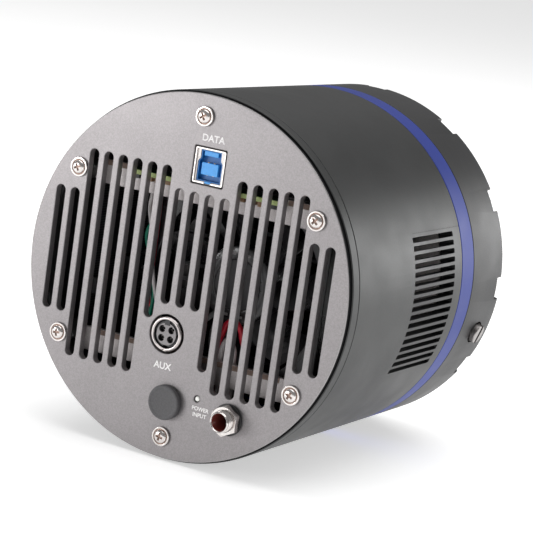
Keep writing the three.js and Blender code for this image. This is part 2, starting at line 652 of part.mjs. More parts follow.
function makePowerJack() {
  const [low, high] = [yAt(-JACK.proud), yAt(JACK_END)];
  const floor = high - JACK_FLOOR;
  const barrel = turned([
    [0, floor],
    [JACK.bore, floor],
    [JACK.bore, low],
    [JACK.radius - JACK.chamfer, low],
    [JACK.radius, low + JACK.chamfer],
    [JACK.radius, high],
    [0, high],
  ], SMALL_ROUND, false);
  const pinEnd = JACK_END - JACK_FLOOR - GAP;
  const post = pin(JACK.pinRadius, JACK_PIN_RECESS - JACK.proud, pinEnd, 0, 0, SCREW_ROUND);
  const place = [JACK.x, 0, JACK.z];
  add("jack_barrel", barrel.translate(place), "nickel");
  add("jack_pin", post.translate(place), "nickel");

  const washerStart = -GAP - JACK_WASHER_THICKNESS;
  const washer = tube(JACK.radius + GAP, JACK_WASHER_RADIUS, washerStart, -GAP, SMALL_ROUND);
  add("jack_washer", washer.translate(place), "blackPlastic");

  const corner = JACK_NUT_FLATS / 2 / Math.cos(Math.PI / 6);
  const hexagon = new THREE.Shape(arc(0, 0, corner, JACK_NUT_TURN, JACK_NUT_TURN + 300, 5));
  const nutEnd = washerStart - GAP;
  const nut = slab(hexagon, nutEnd - JACK_NUT_HEIGHT, nutEnd);
  const bore = pin(JACK.radius + GAP, nutEnd - JACK_NUT_HEIGHT - 1, nutEnd + 1);
  add("jack_nut", nut.subtract(bore).translate(place), "nickel");
}

function makeStatusLed() {
  const led = pin(LED.radius, LED.recess, POWER_BOARD_STATION - GAP, LED.x, LED.z, SCREW_ROUND);
  add("status_led", led, "ledWhite");
}

function makeHolePlug() {
  const [head, seat, end] = [yAt(-PLUG.proud - GAP), yAt(-GAP), yAt(PLUG.stemLength)];
  add("hole_plug", turned([
    [0, head],
    [PLUG.headRadius - PLUG_EDGE, head],
    [PLUG.headRadius, head + PLUG_EDGE],
    [PLUG.headRadius, seat],
    [PLUG.stemRadius, seat],
    [PLUG.stemRadius, end - PLUG.taper],
    [PLUG.stemRadius - PLUG.taper, end],
    [0, end],
  ], SMALL_ROUND, false).translate([PLUG.x, 0, PLUG.z]), "rubber");
}

// ---------------------------------------------------------------- circuit boards
// A slice of a disc below a level line.
function segmentOutline(radius, level) {
  const half = THREE.MathUtils.radToDeg(Math.acos(-level / radius));
  return new THREE.Shape(arc(0, 0, radius, -90 - half, -90 + half, BOARD_ARC_STEPS));
}

// A component on the inner face of the main board.
function mainBoardPart({ thickness, width, setback, depth, rise }, face) {
  const start = FAN_STATION + setback;
  return block(thickness + OVERLAP, width, start, start + depth, face + (thickness - OVERLAP) / 2, rise);
}

function makeBoards() {
  const ioMiddle = (IO_BOARD_TOP + IO_BOARD_FOOT) / 2;
  const ioEnd = IO_BOARD_STATION + IO_BOARD.depth;
  const io = block(IO_BOARD.width, BOARD_THICKNESS, IO_BOARD_STATION, ioEnd, 0, ioMiddle);
  add("io_board", io, "boardGreen");
  const powerEnd = POWER_BOARD_STATION + BOARD_THICKNESS;
  const power = slab(segmentOutline(POWER_BOARD_RADIUS, POWER_BOARD_TOP), POWER_BOARD_STATION, powerEnd);
  add("power_board", power, "boardBlack");
  const x = -SINK.width / 2 - MAIN_BOARD.clearance;
  const end = FAN_STATION + MAIN_BOARD.depth;
  const main = block(BOARD_THICKNESS, MAIN_BOARD.height, FAN_STATION, end, x, 0);
  const parts = [CHIP, CHOKE].map((part) => mainBoardPart(part, x + BOARD_THICKNESS / 2));
  add("main_board", joined([main, ...parts]), "boardBlack");
}

// ---------------------------------------------------------------- fan and its clamp bars
// The outline of a bar: a level strip whose two corners nearer the fan's middle are rounded.
function barOutline(z) {
  const half = Math.sqrt(BAR_REACH ** 2 - z ** 2);
  const inward = Math.sign(FAN.z - z);
  const across = half - BAR_CORNER;
  const centre = z + inward * (BAR_WIDTH / 2 - BAR_CORNER);
  const outer = z - (inward * BAR_WIDTH) / 2;
  return new THREE.Shape([
    ...arc(across, centre, BAR_CORNER, 0, inward * 90, SLOT_ARC_STEPS),
    ...arc(-across, centre, BAR_CORNER, inward * 90, inward * 180, SLOT_ARC_STEPS),
    new THREE.Vector2(-half, outer),
    new THREE.Vector2(half, outer),
  ]);
}

// A bar with posts down to the fan, and room for the socket board and the accessory socket.
function makeFanBar(name, z) {
  const past = [BAR_STATION - 1, BAR_END + 1];
  const bar = slab(barOutline(z), BAR_STATION, BAR_END).intersect(pin(BAR_REACH, ...past, 0, 0, ROUND));
  const spread = FAN.size / 2 - FAN_POST_INSET;
  const posts = [-1, 1].map((side) => {
    const x = FAN.x + side * spread;
    return pin(BAR_POST_RADIUS, BAR_END - OVERLAP, FAN_STATION - GAP, x, z, SCREW_ROUND);
  });
  const foot = IO_BOARD_FOOT - GAP;
  const head = IO_BOARD_TOP + BAR_WIDTH;
  const roomWidth = IO_BOARD.width + 2 * GAP;
  const room = block(roomWidth, head - foot, BAR_STATION - 1, FAN_STATION, 0, (head + foot) / 2);
  const relief = pin(AUX.radius + GAP, ...past, AUX.x, AUX.z);
  add(name, joined([bar, ...posts]).subtract(room).subtract(relief), "aluminium");
}

function makeFanFrame() {
  const { x, z, size, wall } = FAN;
  const bore = size / 2 - wall;
  const end = FAN_END;
  const outline = rectangle(size, size, x, z);
  const frame = slab(outline, FAN_STATION, end);
  const throat = pin(bore, FAN_STATION - 1, end + 1, x, z, MEDIUM_ROUND);
  const struts = [];
  for (let index = 0; index < FAN_STRUTS; index += 1) {
    const strut = block(bore, FAN_STRUT_WIDTH, end - FAN_STRUT_DEPTH, end, bore / 2 + OVERLAP);
    struts.push(turnedRound(strut, 45 + (index * 360) / FAN_STRUTS).translate([x, 0, z]));
  }
  const motorBase = pin(FAN_HUB_RADIUS - 1, end - FAN_STRUT_DEPTH, end, x, z);
  const shaftHole = pin(FAN_SHAFT_RADIUS + GAP, end - FAN_STRUT_DEPTH - 1, end + 1, x, z, SCREW_ROUND);
  const holes = [shaftHole];
  for (const sideX of [-1, 1]) {
    for (const sideZ of [-1, 1]) {
      const holeX = x + sideX * (size / 2 - FAN_HOLE_INSET);
      const holeZ = z + sideZ * (size / 2 - FAN_HOLE_INSET);
      holes.push(pin(FAN_HOLE_RADIUS, FAN_STATION - 1, end + 1, holeX, holeZ, SCREW_ROUND));
    }
  }
  const whole = joined([frame.subtract(throat), ...struts, motorBase]);
  add("fan_frame", whole.subtract(joined(holes)), "blackPlastic");
}

function makeFanRotor() {
  const { x, z, size, wall } = FAN;
  const tip = size / 2 - wall - FAN_TIP_CLEARANCE;
  const hubStart = FAN_STATION + FAN_HUB_STEP;
  const strutStart = FAN_END - FAN_STRUT_DEPTH;
  const hubEnd = strutStart - FAN_ROTOR_CLEARANCE;
  const inner = FAN_HUB_RADIUS - FAN_HUB_WALL;
  const bore = FAN_SHAFT_RADIUS + GAP;
  const [low, high] = [yAt(hubStart), yAt(hubEnd)];
  const bossEnd = low + FAN_HUB_WALL + FAN_BOSS.length;
  const hub = turned([
    [0, low],
    [FAN_HUB_RADIUS - FAN_HUB_CHAMFER, low],
    [FAN_HUB_RADIUS, low + FAN_HUB_CHAMFER],
    [FAN_HUB_RADIUS, high],
    [inner, high],
    [inner, low + FAN_HUB_WALL],
    [bore + FAN_BOSS.wall, low + FAN_HUB_WALL],
    [bore + FAN_BOSS.wall, bossEnd],
    [bore, bossEnd],
    [bore, low + FAN_BOSS.floor],
    [0, low + FAN_BOSS.floor],
  ], SMALL_ROUND, false);
  const bladeLength = tip - FAN_HUB_RADIUS + OVERLAP;
  const middle = yAt((hubStart + hubEnd) / 2);
  const blades = [];
  for (let index = 0; index < FAN_BLADES; index += 1) {
    const geometry = new THREE.BoxGeometry(bladeLength, FAN_BLADE_THICKNESS, FAN_BLADE_CHORD);
    geometry.rotateX(radians(FAN_BLADE_PITCH));
    geometry.translate(FAN_HUB_RADIUS - OVERLAP + bladeLength / 2, middle, 0);
    blades.push(turnedRound(toSolid(geometry), (index * 360) / FAN_BLADES));
  }
  const sweep = tube(inner + GAP, tip, FAN_STATION + FAN_ROTOR_CLEARANCE, hubEnd, MEDIUM_ROUND);
  const rotor = hub.add(joined(blades).intersect(sweep));
  add("fan_rotor", rotor.translate([x, 0, z]), "blackPlastic");

  const shaftStart = hubStart + FAN_BOSS.floor + GAP;
  add("fan_shaft", pin(FAN_SHAFT_RADIUS, shaftStart, FAN_END - GAP, x, z, SCREW_ROUND), "steel");

  const statorStart = hubStart + FAN_HUB_WALL + FAN_BOSS.length + GAP;
  const stator = tube(bore, inner - FAN_ROTOR_CLEARANCE, statorStart, strutStart - GAP, SMALL_ROUND);
  add("fan_stator", stator.translate([x, 0, z]), "steel");
}

// ---------------------------------------------------------------- cooling stack
function makeHeatSink() {
  const { width, height, base, fins, fin, spine } = SINK;
  const face = SINK_END - base;
  const plate = block(width, height, face, SINK_END);
  const pieces = [plate, block(spine, height, SINK_START, face + OVERLAP)];
  for (let index = 0; index < fins; index += 1) {
    const z = -height / 2 + fin / 2 + (index * (height - fin)) / (fins - 1);
    pieces.push(block(width, fin, SINK_START, face + OVERLAP, 0, z));
  }
  add("heat_sink", joined(pieces), "blackAnodise");
}

function makeCoolingStack() {
  const core = COOLER_SIZE - 2 * COOLER_INSET;
  const cooler = joined([
    block(COOLER_SIZE, COOLER_SIZE, COOLER_START, COOLER_START + COOLER_CERAMIC),
    block(core, core, COOLER_START + COOLER_CERAMIC / 2, COOLER_END - COOLER_CERAMIC / 2),
    block(COOLER_SIZE, COOLER_SIZE, COOLER_END - COOLER_CERAMIC, COOLER_END),
  ]);
  add("cooler_module", cooler, "ceramic");

  const ring = circle(INSULATION_RADIUS);
  ring.holes.push(rectangle(COOLER_SIZE + 2 * GAP, COOLER_SIZE + 2 * GAP));
  add("insulation_ring", slab(ring, COOLER_START, COOLER_END - GAP), "foam");

  const bulkheadEnd = COOLER_END + BULKHEAD_THICKNESS;
  const bulkhead = tube(BULKHEAD_HOLE, SPIGOT_BORE - GAP, COOLER_END, bulkheadEnd, MEDIUM_ROUND);
  add("bulkhead", bulkhead, "aluminium");

  const { width, height, neckWidth, neckHeight } = COLD_BLOCK;
  const coldBlock = joined([
    block(width, height, COLD_BLOCK_START, COLD_NECK_START),
    block(neckWidth, neckHeight, COLD_NECK_START - OVERLAP, COLD_NECK_END),
  ]);
  add("cold_block", coldBlock, "aluminium");
}

// ---------------------------------------------------------------- sensor chamber
function makeSensor() {
  const boardEnd = SENSOR_BOARD_STATION + BOARD_THICKNESS;
  const margin = 2 * SENSOR_BOARD.openingMargin;
  const board = rectangle(SENSOR_BOARD.width, SENSOR_BOARD.height);
  board.holes.push(rectangle(COLD_BLOCK.neckWidth + margin, COLD_BLOCK.neckHeight + margin));
  add("sensor_board", slab(board, SENSOR_BOARD_STATION, boardEnd), "boardBlack");

  const packageStart = boardEnd + GAP;
  const packageEnd = packageStart + PACKAGE.thickness;
  const frame = 2 * PACKAGE.frame;
  const pocketStart = packageEnd - PACKAGE.recess;
  const pocket = block(PACKAGE.width - frame, PACKAGE.height - frame, pocketStart, packageEnd + 1);
  const body = block(PACKAGE.width, PACKAGE.height, packageStart, packageEnd);
  add("sensor_package", body.subtract(pocket), "ceramic");

  const dieStart = pocketStart + GAP;
  const die = block(SENSOR.width, SENSOR.height, dieStart, dieStart + SENSOR.thickness);
  add("image_sensor", die, "silicon");
}

function makeWindow() {
  const sealEnd = WINDOW_STATION - GAP;
  const seal = tube(WINDOW_RADIUS - SEAL_WIDTH, WINDOW_RADIUS, SEAL_STATION, sealEnd, MEDIUM_ROUND);
  add("window_seal", seal, "rubber");

  add("chamber_window", pin(WINDOW_RADIUS, WINDOW_STATION, WINDOW_END, 0, 0, MEDIUM_ROUND), "glass");

  const retainerStart = WINDOW_END + GAP;
  const retainerEnd = retainerStart + RETAINER_THICKNESS;
  const outer = WINDOW_RADIUS + RETAINER_OVERHANG;
  const bore = WINDOW_RADIUS - RETAINER_HOLD;
  const retainer = tube(bore, outer, retainerStart, retainerEnd, MEDIUM_ROUND);
  const { width, depth } = RETAINER_SPANNER_SLOT;
  const slot = block(2 * outer + 2, width, retainerEnd - depth, retainerEnd + 1);
  add("window_retainer", retainer.subtract(slot), "blackAnodise");
}

// ---------------------------------------------------------------- internal wires
// A wire along a smooth curve through hand-chosen points, each [x, depth, z]. At no depth it just
// clears the clamp bars, and a wire bows to a negative depth only between the two bars.
function makeWire(name, points, radius, finishName) {
  const clear = BAR_END + GAP + radius;
  const curve = new THREE.CatmullRomCurve3(points.map(([x, depth, z]) => {
    return new THREE.Vector3(x, yAt(clear + depth), z);
  }));
  const options = { steps: WIRE_STEPS * (points.length - 1), bevelEnabled: false, extrudePath: curve };
  const section = new THREE.Shape(arc(0, 0, radius, 0, 360 - 360 / WIRE_SIDES, WIRE_SIDES - 1));
  add(name, toSolid(new THREE.ExtrudeGeometry(section, options)), finishName);
}

function makeWires() {
  const top = IO_BOARD_FOOT - WIRE_END_CLEARANCE;
  const foot = POWER_BOARD_TOP + WIRE_END_CLEARANCE;
  makeWire("fan_wire_green", [
    [-21.5, 0.5, top], [-21.4, 0.5, 22], [-22.6, 0.3, 15.5], [-24.6, 0.2, 10.5], [-24.2, 0.2, 7],
    [-22, 0.2, 2.5], [-19.8, 0.2, -5], [-18.6, 0.2, -11], [-18.7, 0.2, -15], [-19.9, 0.6, -25],
    [-19.9, 0.6, foot],
  ], FAN_WIRE_RADIUS, "wireGreen");
  makeWire("fan_wire_white", [
    [-24.4, 0.5, top], [-24.6, 0.2, 24], [-24.9, 0.2, 19.4], [-23.1, -1.2, 15.5], [-21.2, -1.7, 11],
    [-20.6, -1.7, 4], [-18.9, -1.6, -3.5], [-17.6, -1.6, -8], [-16.1, -1.2, -13], [-14.2, 0.3, -21],
    [-13.9, 0.5, -27], [-13.2, 0.7, -31], [-13, 0.8, foot],
  ], FAN_WIRE_RADIUS, "wireWhite");
  makeWire("fan_wire_red", [
    [-22, 1.9, top], [-22, 2.3, 20], [-21.8, 2.3, 8], [-21.8, 2.2, -4], [-22, 2.1, -12],
    [-20.4, 2, -15.5], [-17.5, 2, -18], [-19, 2, -23], [-21.6, 2, -28], [-21.8, 1.4, foot],
  ], FAN_WIRE_RADIUS, "wireRed");
  makeWire("jack_wire_red", [
    [22, 0.3, foot], [22, 0.3, -30], [21.2, 0.2, -23], [19.8, -0.4, -19.2], [18.6, -1.1, -15],
    [16, -1.2, -13], [13.6, -1.1, -14], [12.1, -0.5, -17], [10.4, 0.2, -21], [8.8, 0.4, -28],
    [8.6, 0.4, foot],
  ], SUPPLY_WIRE_RADIUS, "wireRed");
  makeWire("jack_wire_white", [
    [12, 0.9, foot], [11.6, 0.7, -28], [12, 0.5, -23], [14, 0.4, -20.4], [16.2, 0.3, -22.6],
    [17, 0.5, -28], [17.2, 0.9, foot],
  ], SUPPLY_WIRE_RADIUS, "wireWhite");
}

// ---------------------------------------------------------------- the whole camera
makeRearPlate();
makeRearRing();
makeMainShell();
makeAccentRing();
makeFrontHousing();
makeAdapterRing();
makeRearScrews();
makeRimScrews();
makePortScrew();
makeUsbSocket();
makeAuxSocket();
makePowerJack();
makeStatusLed();
makeHolePlug();
makeBoards();
makeFanBar("fan_bar_top", FAN.z + BAR_RISE);
makeFanBar("fan_bar_bottom", FAN.z - BAR_RISE);
makeFanFrame();
makeFanRotor();
makeHeatSink();
makeCoolingStack();
makeSensor();
makeWindow();
makeWires();

export default camera;
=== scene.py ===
import math

import bmesh
import bpy
from mathutils import Matrix, Vector


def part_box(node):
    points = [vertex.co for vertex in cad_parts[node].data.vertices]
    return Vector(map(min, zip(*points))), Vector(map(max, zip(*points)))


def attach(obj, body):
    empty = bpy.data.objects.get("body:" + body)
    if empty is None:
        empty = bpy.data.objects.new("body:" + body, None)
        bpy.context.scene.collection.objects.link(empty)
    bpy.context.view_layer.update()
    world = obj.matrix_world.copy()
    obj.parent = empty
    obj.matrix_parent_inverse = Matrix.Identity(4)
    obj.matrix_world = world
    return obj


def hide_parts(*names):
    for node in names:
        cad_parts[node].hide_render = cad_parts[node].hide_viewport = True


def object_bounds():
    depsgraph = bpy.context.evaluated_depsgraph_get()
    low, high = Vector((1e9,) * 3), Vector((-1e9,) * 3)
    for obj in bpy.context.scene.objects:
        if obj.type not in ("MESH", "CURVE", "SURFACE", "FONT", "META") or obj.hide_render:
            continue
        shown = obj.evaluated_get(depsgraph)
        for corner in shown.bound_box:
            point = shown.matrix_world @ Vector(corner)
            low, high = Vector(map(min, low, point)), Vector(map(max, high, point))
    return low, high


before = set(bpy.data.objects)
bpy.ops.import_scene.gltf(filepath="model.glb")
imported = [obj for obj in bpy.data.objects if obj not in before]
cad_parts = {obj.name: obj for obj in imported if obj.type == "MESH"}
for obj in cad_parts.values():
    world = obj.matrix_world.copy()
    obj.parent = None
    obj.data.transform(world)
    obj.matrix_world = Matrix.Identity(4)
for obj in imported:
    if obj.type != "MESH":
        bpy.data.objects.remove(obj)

CAD_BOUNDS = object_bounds()

# ------------------------------------------------------------------ sizes
# Metres, in the frame of the CAD. Sizes that the frame's boxes don't give are written in mm.
MM = 0.001
BODY = "camera_body"
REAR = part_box("rear_plate")[0].y  # the rear face of the rear plate

ROUND_STEPS = 180  # sides of the casing's round pieces
MEDIUM_STEPS = 96
SMALL_STEPS = 48
SCREW_STEPS = 32
SHARP_ANGLE = 20  # degrees, past which an edge is shaded sharp

SHELL_WALL = 3.0
PLATE_THICKNESS = 3.0
PLATE_PROUD = 1.6
PLATE_EDGE = 0.25
CLEARANCE = 0.3

SLOT_PITCH = 6.09
SLOT_WIDTH = 3.7
SLOT_TALL = 35.6
SLOT_SHORT = 20.5
SLOT_BESIDE_USB_TOP = 28.5
SLOT_ABOVE_AUX_FOOT = -8.5
SLOT_LEFT_OF_AUX_FOOT = -14.6
SLOT_RIGHT_OF_AUX_FOOT = -28.7

PLATE_SCREW_CIRCLE = 56.7
PLATE_SCREW_ANGLES = (90, 32, -32, -90, -148, 148)

VENT_COUNT = 17
VENT_PITCH = 2.706
VENT_WIDTH = 1.9
VENT_CORNER = 0.55
VENT_START = 49.2
VENT_END = 82.5
VENT_CENTRE = -1.65
SCRIBE_ANGLE = 22.1  # of the fine line above the vents

NOTCH_COUNT = 12
NOTCH_WIDTH = 8.6
NOTCH_DEPTH = 5.8
NOTCH_CIRCLE = 61.5
FRONT_CLOCKING = -1.3

PORT_STATION = 114.4
PORT_ANGLE = -16.2

BLADE_COUNT = 7

BAR_WIDTH = 8.6
BAR_CORNER = 6.0
BAR_REACH = 57.6  # radius that the bars' ends keep inside
POWER_BOARD_RADIUS = 52.4


def at(station):
    """y of a station in mm, counted forward from the rear face."""
    return REAR + station * MM


def span(node):
    """The first and last y of a CAD node."""
    lowest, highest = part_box(node)
    return lowest.y, highest.y


def reach(node):
    """Outer radius of a round CAD node on the optical axis."""
    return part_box(node)[1].x


def middle(node):
    """x and z of a CAD node's centre."""
    lowest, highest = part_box(node)
    return (lowest.x + highest.x) / 2, (lowest.z + highest.z) / 2


def width_of(node):
    lowest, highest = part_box(node)
    return highest.x - lowest.x


def on_circle(radius, degrees):
    angle = math.radians(degrees)
    return radius * math.cos(angle), radius * math.sin(angle)


# ------------------------------------------------------------------ making meshes
def new_object(name, bm):
    mesh = bpy.data.meshes.new(name)
    bm.to_mesh(mesh)
    bm.free()
    made = bpy.data.objects.new(name, mesh)
    bpy.context.scene.collection.objects.link(made)
    return made


def tidied(bm):
    """Welds what coincides and points every face outwards."""
    bmesh.ops.remove_doubles(bm, verts=bm.verts, dist=0.001 * MM)
    bmesh.ops.dissolve_degenerate(bm, edges=bm.edges, dist=0.0005 * MM)
    bmesh.ops.recalc_face_normals(bm, faces=bm.faces)
    return bm


def turned(profile, steps, centre=(0.0, 0.0), closed=True):
    """Spins a profile of (radius, y) or (radius, y, corner) about a line along Y."""
    bm = bmesh.new()
    verts = []
    corners = []
    for radius, y, *corner in profile:
        vert = bm.verts.new((radius, y, 0))
        verts.append(vert)
        if corner:
            corners.append((vert, corner[0]))
    path = verts + verts[:1] if closed else verts
    for pair in zip(path, path[1:]):
        bm.edges.new(pair)
    for vert, size in corners:
        segments = 6 if size > 1.5 * MM else 2
        bmesh.ops.bevel(bm, geom=[vert], offset=size, offset_type="OFFSET", segments=segments,
                        profile=0.5, affect="VERTICES", material=-1, clamp_overlap=False)
    bmesh.ops.spin(bm, geom=bm.verts[:] + bm.edges[:], cent=(0, 0, 0), axis=(0, 1, 0),
                   dvec=(0, 0, 0), angle=math.tau, steps=steps, use_merge=True)
    bmesh.ops.translate(bm, verts=bm.verts, vec=(centre[0], 0, centre[1]))
    return tidied(bm)


def disc(radius, y_low, y_high, centre=(0.0, 0.0), steps=SCREW_STEPS):
    profile = [(0, y_low), (radius, y_low), (radius, y_high), (0, y_high)]
    return turned(profile, steps, centre, closed=False)


def block(lowest, highest, edge=0.0, segments=2):
    """A box between two corners, with its edges rounded off."""
    bm = bmesh.new()
    bmesh.ops.create_cube(bm, size=1)
    size = Vector(highest) - Vector(lowest)
    bmesh.ops.scale(bm, verts=bm.verts, vec=size)
    bmesh.ops.translate(bm, verts=bm.verts, vec=(Vector(highest) + Vector(lowest)) / 2)
    if edge:
        bmesh.ops.bevel(bm, geom=bm.edges[:], offset=edge, offset_type="OFFSET", segments=segments,
                        profile=0.5, affect="EDGES", material=-1, clamp_overlap=True)
    return bm


def joined(parts):
    """One mesh that holds several loose ones."""
    whole = bmesh.new()
    for part in parts:
        mesh = bpy.data.meshes.new("part")
        part.to_mesh(mesh)
        part.free()
        whole.from_mesh(mesh)
        bpy.data.meshes.remove(mesh)
    return whole


def carved(bm, tool, operation="DIFFERENCE"):
    """What is left when a tool is cut from a solid, or the two as one."""
    work = new_object("work", bm)
    cutter = new_object("cutter", tool)
    step = work.modifiers.new("step", "BOOLEAN")
    step.operation = operation
    step.solver = "EXACT"
    step.object = cutter
    result = bmesh.new()
    result.from_object(work, bpy.context.evaluated_depsgraph_get())
    for used in (work, cutter):
        mesh = used.data
        bpy.data.objects.remove(used)
        bpy.data.meshes.remove(mesh)
    return result


def rotated(bm, degrees, axis="Y", centre=(0, 0, 0)):
    """Turned about an axis; about Y it goes from +X towards +Z."""
    sign = -1 if axis == "Y" else 1
    matrix = Matrix.Rotation(sign * math.radians(degrees), 3, axis)
    bmesh.ops.rotate(bm, verts=bm.verts, cent=centre, matrix=matrix)
    return bm


def arc(x, z, radius, start, end, steps):
    points = []
    for step in range(steps + 1):
        dx, dz = on_circle(radius, start + (end - start) * step / steps)
        points.append((x + dx, z + dz))
    return points


def round_outline(x, z, radius, steps=SMALL_STEPS):
    return arc(x, z, radius, 0, 360 - 360 / steps, steps - 1)


def slot_outline(x, foot, head, radius):
    return arc(x, head, radius, 0, 180, 12) + arc(x, foot, radius, 180, 360, 12)


def box_outline(x, z, width, height, corner):
    points = []
    for index, (side, level) in enumerate(((1, 1), (-1, 1), (-1, -1), (1, -1))):
        corner_x = x + side * (width / 2 - corner)
        corner_z = z + level * (height / 2 - corner)
        points += arc(corner_x, corner_z, corner, index * 90, index * 90 + 90, 4)
    return points


def mesh_of(curve_data):
    """A curve or text made a mesh, laid in the XZ plane and facing the rear."""
    holder = bpy.data.objects.new("outline", curve_data)
    bpy.context.scene.collection.objects.link(holder)
    bm = bmesh.new()
    evaluated = holder.evaluated_get(bpy.context.evaluated_depsgraph_get())
    mesh = bpy.data.meshes.new_from_object(evaluated)
    bm.from_mesh(mesh)
    bpy.data.meshes.remove(mesh)
    bpy.data.objects.remove(holder)
    bpy.data.curves.remove(curve_data)
    return bm


def stamped(outlines, y_low, y_high, edge, edge_steps=1):
    """A flat piece: the first outline is its rim, the others are its holes."""
    curve = bpy.data.curves.new("outline", "CURVE")
    curve.dimensions = "2D"
    curve.fill_mode = "BOTH"
    curve.extrude = (y_high - y_low) / 2 - edge
    curve.bevel_depth = edge
    curve.bevel_resolution = edge_steps
    curve.offset = -edge
    for outline in outlines:
        spline = curve.splines.new("POLY")
        spline.points.add(len(outline) - 1)
        for point, (x, z) in zip(spline.points, outline):
            point.co = (x, z, 0, 1)
        spline.use_cyclic_u = True
    bm = mesh_of(curve)
    rotated(bm, 90, "X")
    bmesh.ops.translate(bm, verts=bm.verts, vec=(0, (y_low + y_high) / 2, 0))
    return tidied(bm)


def lettering(text, height, x, z, y_face, depth):
    """Small raised print on a face that looks to the rear."""
    curve = bpy.data.curves.new("print", "FONT")
    curve.body = text
    curve.size = height / 0.69  # capitals are 0.69 of the nominal size
    curve.align_x = "CENTER"
    curve.extrude = depth / 2
    curve.offset = 0.035 * height  # a little bolder
    curve.resolution_u = 4
    bm = mesh_of(curve)
    rotated(bm, 90, "X")
    bmesh.ops.translate(bm, verts=bm.verts, vec=(x, y_face - depth / 2, z))
    return tidied(bm)


def wire_tube(points, radius):
    """A smooth wire through given points, each (x, station, z) in mm."""
    curve = bpy.data.curves.new("wire", "CURVE")
    curve.dimensions = "3D"
    curve.bevel_depth = radius
    curve.bevel_resolution = 3
    curve.resolution_u = 6
    curve.use_fill_caps = True
    spline = curve.splines.new("BEZIER")
    spline.bezier_points.add(len(points) - 1)
    for point, (x, station, z) in zip(spline.bezier_points, points):
        point.co = (x * MM, at(station), z * MM)
        point.handle_left_type = "AUTO"
        point.handle_right_type = "AUTO"
    return tidied(mesh_of(curve))


def paint(bm, slot_index, test):
    """Gives a material slot to the faces whose centre and normal pass a test."""
    for face in bm.faces:
        if test(face.calc_center_median(), face.normal):
            face.material_index = slot_index


def piece(name, bm, materials, stands_for=(), body=BODY, sharp=SHARP_ANGLE):
    """Finishes a piece: materials, shading, its body and the CAD nodes it stands for."""
    made = new_object(name, bm)
    for material in materials if isinstance(materials, (list, tuple)) else [materials]:
        made.data.materials.append(material)
    made.data.shade_smooth()
    made.data.set_sharp_from_angle(angle=math.radians(sharp))
    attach(made, body)
    if stands_for:
        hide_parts(*stands_for)
    return made


# ------------------------------------------------------------------ materials
def add_node(material, kind, source=None, **values):
    """A shader node with its sockets set, and its first one fed from another node."""
    tree = material.node_tree
    node = tree.nodes.new("ShaderNode" + kind)
    for socket, value in values.items():
        node.inputs[socket.replace("_", " ")].default_value = value
    if source:
        tree.links.new(source, node.inputs[0])
    return node


def add_ramp(material, source, low, high):
    """A shade that goes from one colour to another with a noise."""
    ramp = add_node(material, "ValToRGB", source)
    for element, position, colour in zip(ramp.color_ramp.elements, (0.35, 0.65), (low, high)):
        element.position = position
        element.color = (*colour, 1)
    return ramp.outputs["Color"]


def add_range(material, source, low, high):
    """A number that follows the middle of a noise, from one value to another."""
    values = {"From_Min": 0.3, "From_Max": 0.7, "To_Min": low, "To_Max": high}
    return add_node(material, "MapRange", source, **values).outputs["Result"]


def surface(name, colour, roughness, metallic=0.0, grain=0.35, depth=0.01, mottle=0.05,
            rough_spread=0.06, drift=0.05, coat=0.0, specular=0.5):
    """A finish with a fine grain, a slow drift of its shade and an uneven gloss.

    grain is the size of the grain and depth its height, both in mm. mottle is how far the grain
    changes the shade, and drift how far the slow change does.
    """
    material = bpy.data.materials.new(name)
    material.use_nodes = True
    links = material.node_tree.links
    shader = material.node_tree.nodes["Principled BSDF"]
    sockets = {"Metallic": metallic, "Coat Weight": coat, "Coat Roughness": 0.15,
               "Specular IOR Level": specular}
    for socket, value in sockets.items():
        shader.inputs[socket].default_value = value
    place = add_node(material, "TexCoord").outputs["Object"]
    fine = add_node(material, "TexNoise", place, Scale=1 / (grain * MM), Detail=3).outputs["Fac"]
    slow = add_node(material, "TexNoise", place, Scale=45, Detail=4).outputs["Fac"]

    dark = [c * (1 - mottle) for c in colour]
    light = [min(1, c * (1 + mottle)) for c in colour]
    scaled = add_node(material, "VectorMath", add_ramp(material, fine, dark, light))
    scaled.operation = "SCALE"
    links.new(add_range(material, slow, 1 - drift, 1 + drift), scaled.inputs["Scale"])
    links.new(scaled.outputs["Vector"], shader.inputs["Base Color"])

    gloss = add_range(material, slow, max(0.02, roughness - rough_spread), min(1, roughness + rough_spread))
    links.new(gloss, shader.inputs["Roughness"])
    bump = add_node(material, "Bump", Strength=0.6, Distance=depth * MM)
    links.new(fine, bump.inputs["Height"])
    links.new(bump.outputs["Normal"], shader.inputs["Normal"])
    return material


def recoloured(material, colour):
    """Gives a finish another source for its colour."""
    shader = material.node_tree.nodes["Principled BSDF"]
    material.node_tree.links.new(colour, shader.inputs["Base Color"])
    return material


def window_glass():
    """Clear glass with a faint coating tint, seen through."""
    material = surface("coated_glass", (0.55, 0.72, 0.68), 0.03, grain=20, depth=0.0, mottle=0.02,
                       rough_spread=0.01, coat=1.0, specular=0.6)
    material.node_tree.nodes["Principled BSDF"].inputs["Alpha"].default_value = 0.16
    return material


def sensor_face():
    """Polished silicon whose colour drifts from blue-violet to green."""
    material = surface("sensor_silicon", (0.05, 0.06, 0.12), 0.12, metallic=0.5, grain=0.2,
                       depth=0.002, mottle=0.1, rough_spread=0.03, coat=0.6)
    place = add_node(material, "TexCoord").outputs["Object"]
    wave = add_node(material, "TexNoise", place, Scale=22, Detail=1).outputs["Fac"]
    return recoloured(material, add_ramp(material, wave, (0.06, 0.05, 0.16), (0.03, 0.12, 0.13)))


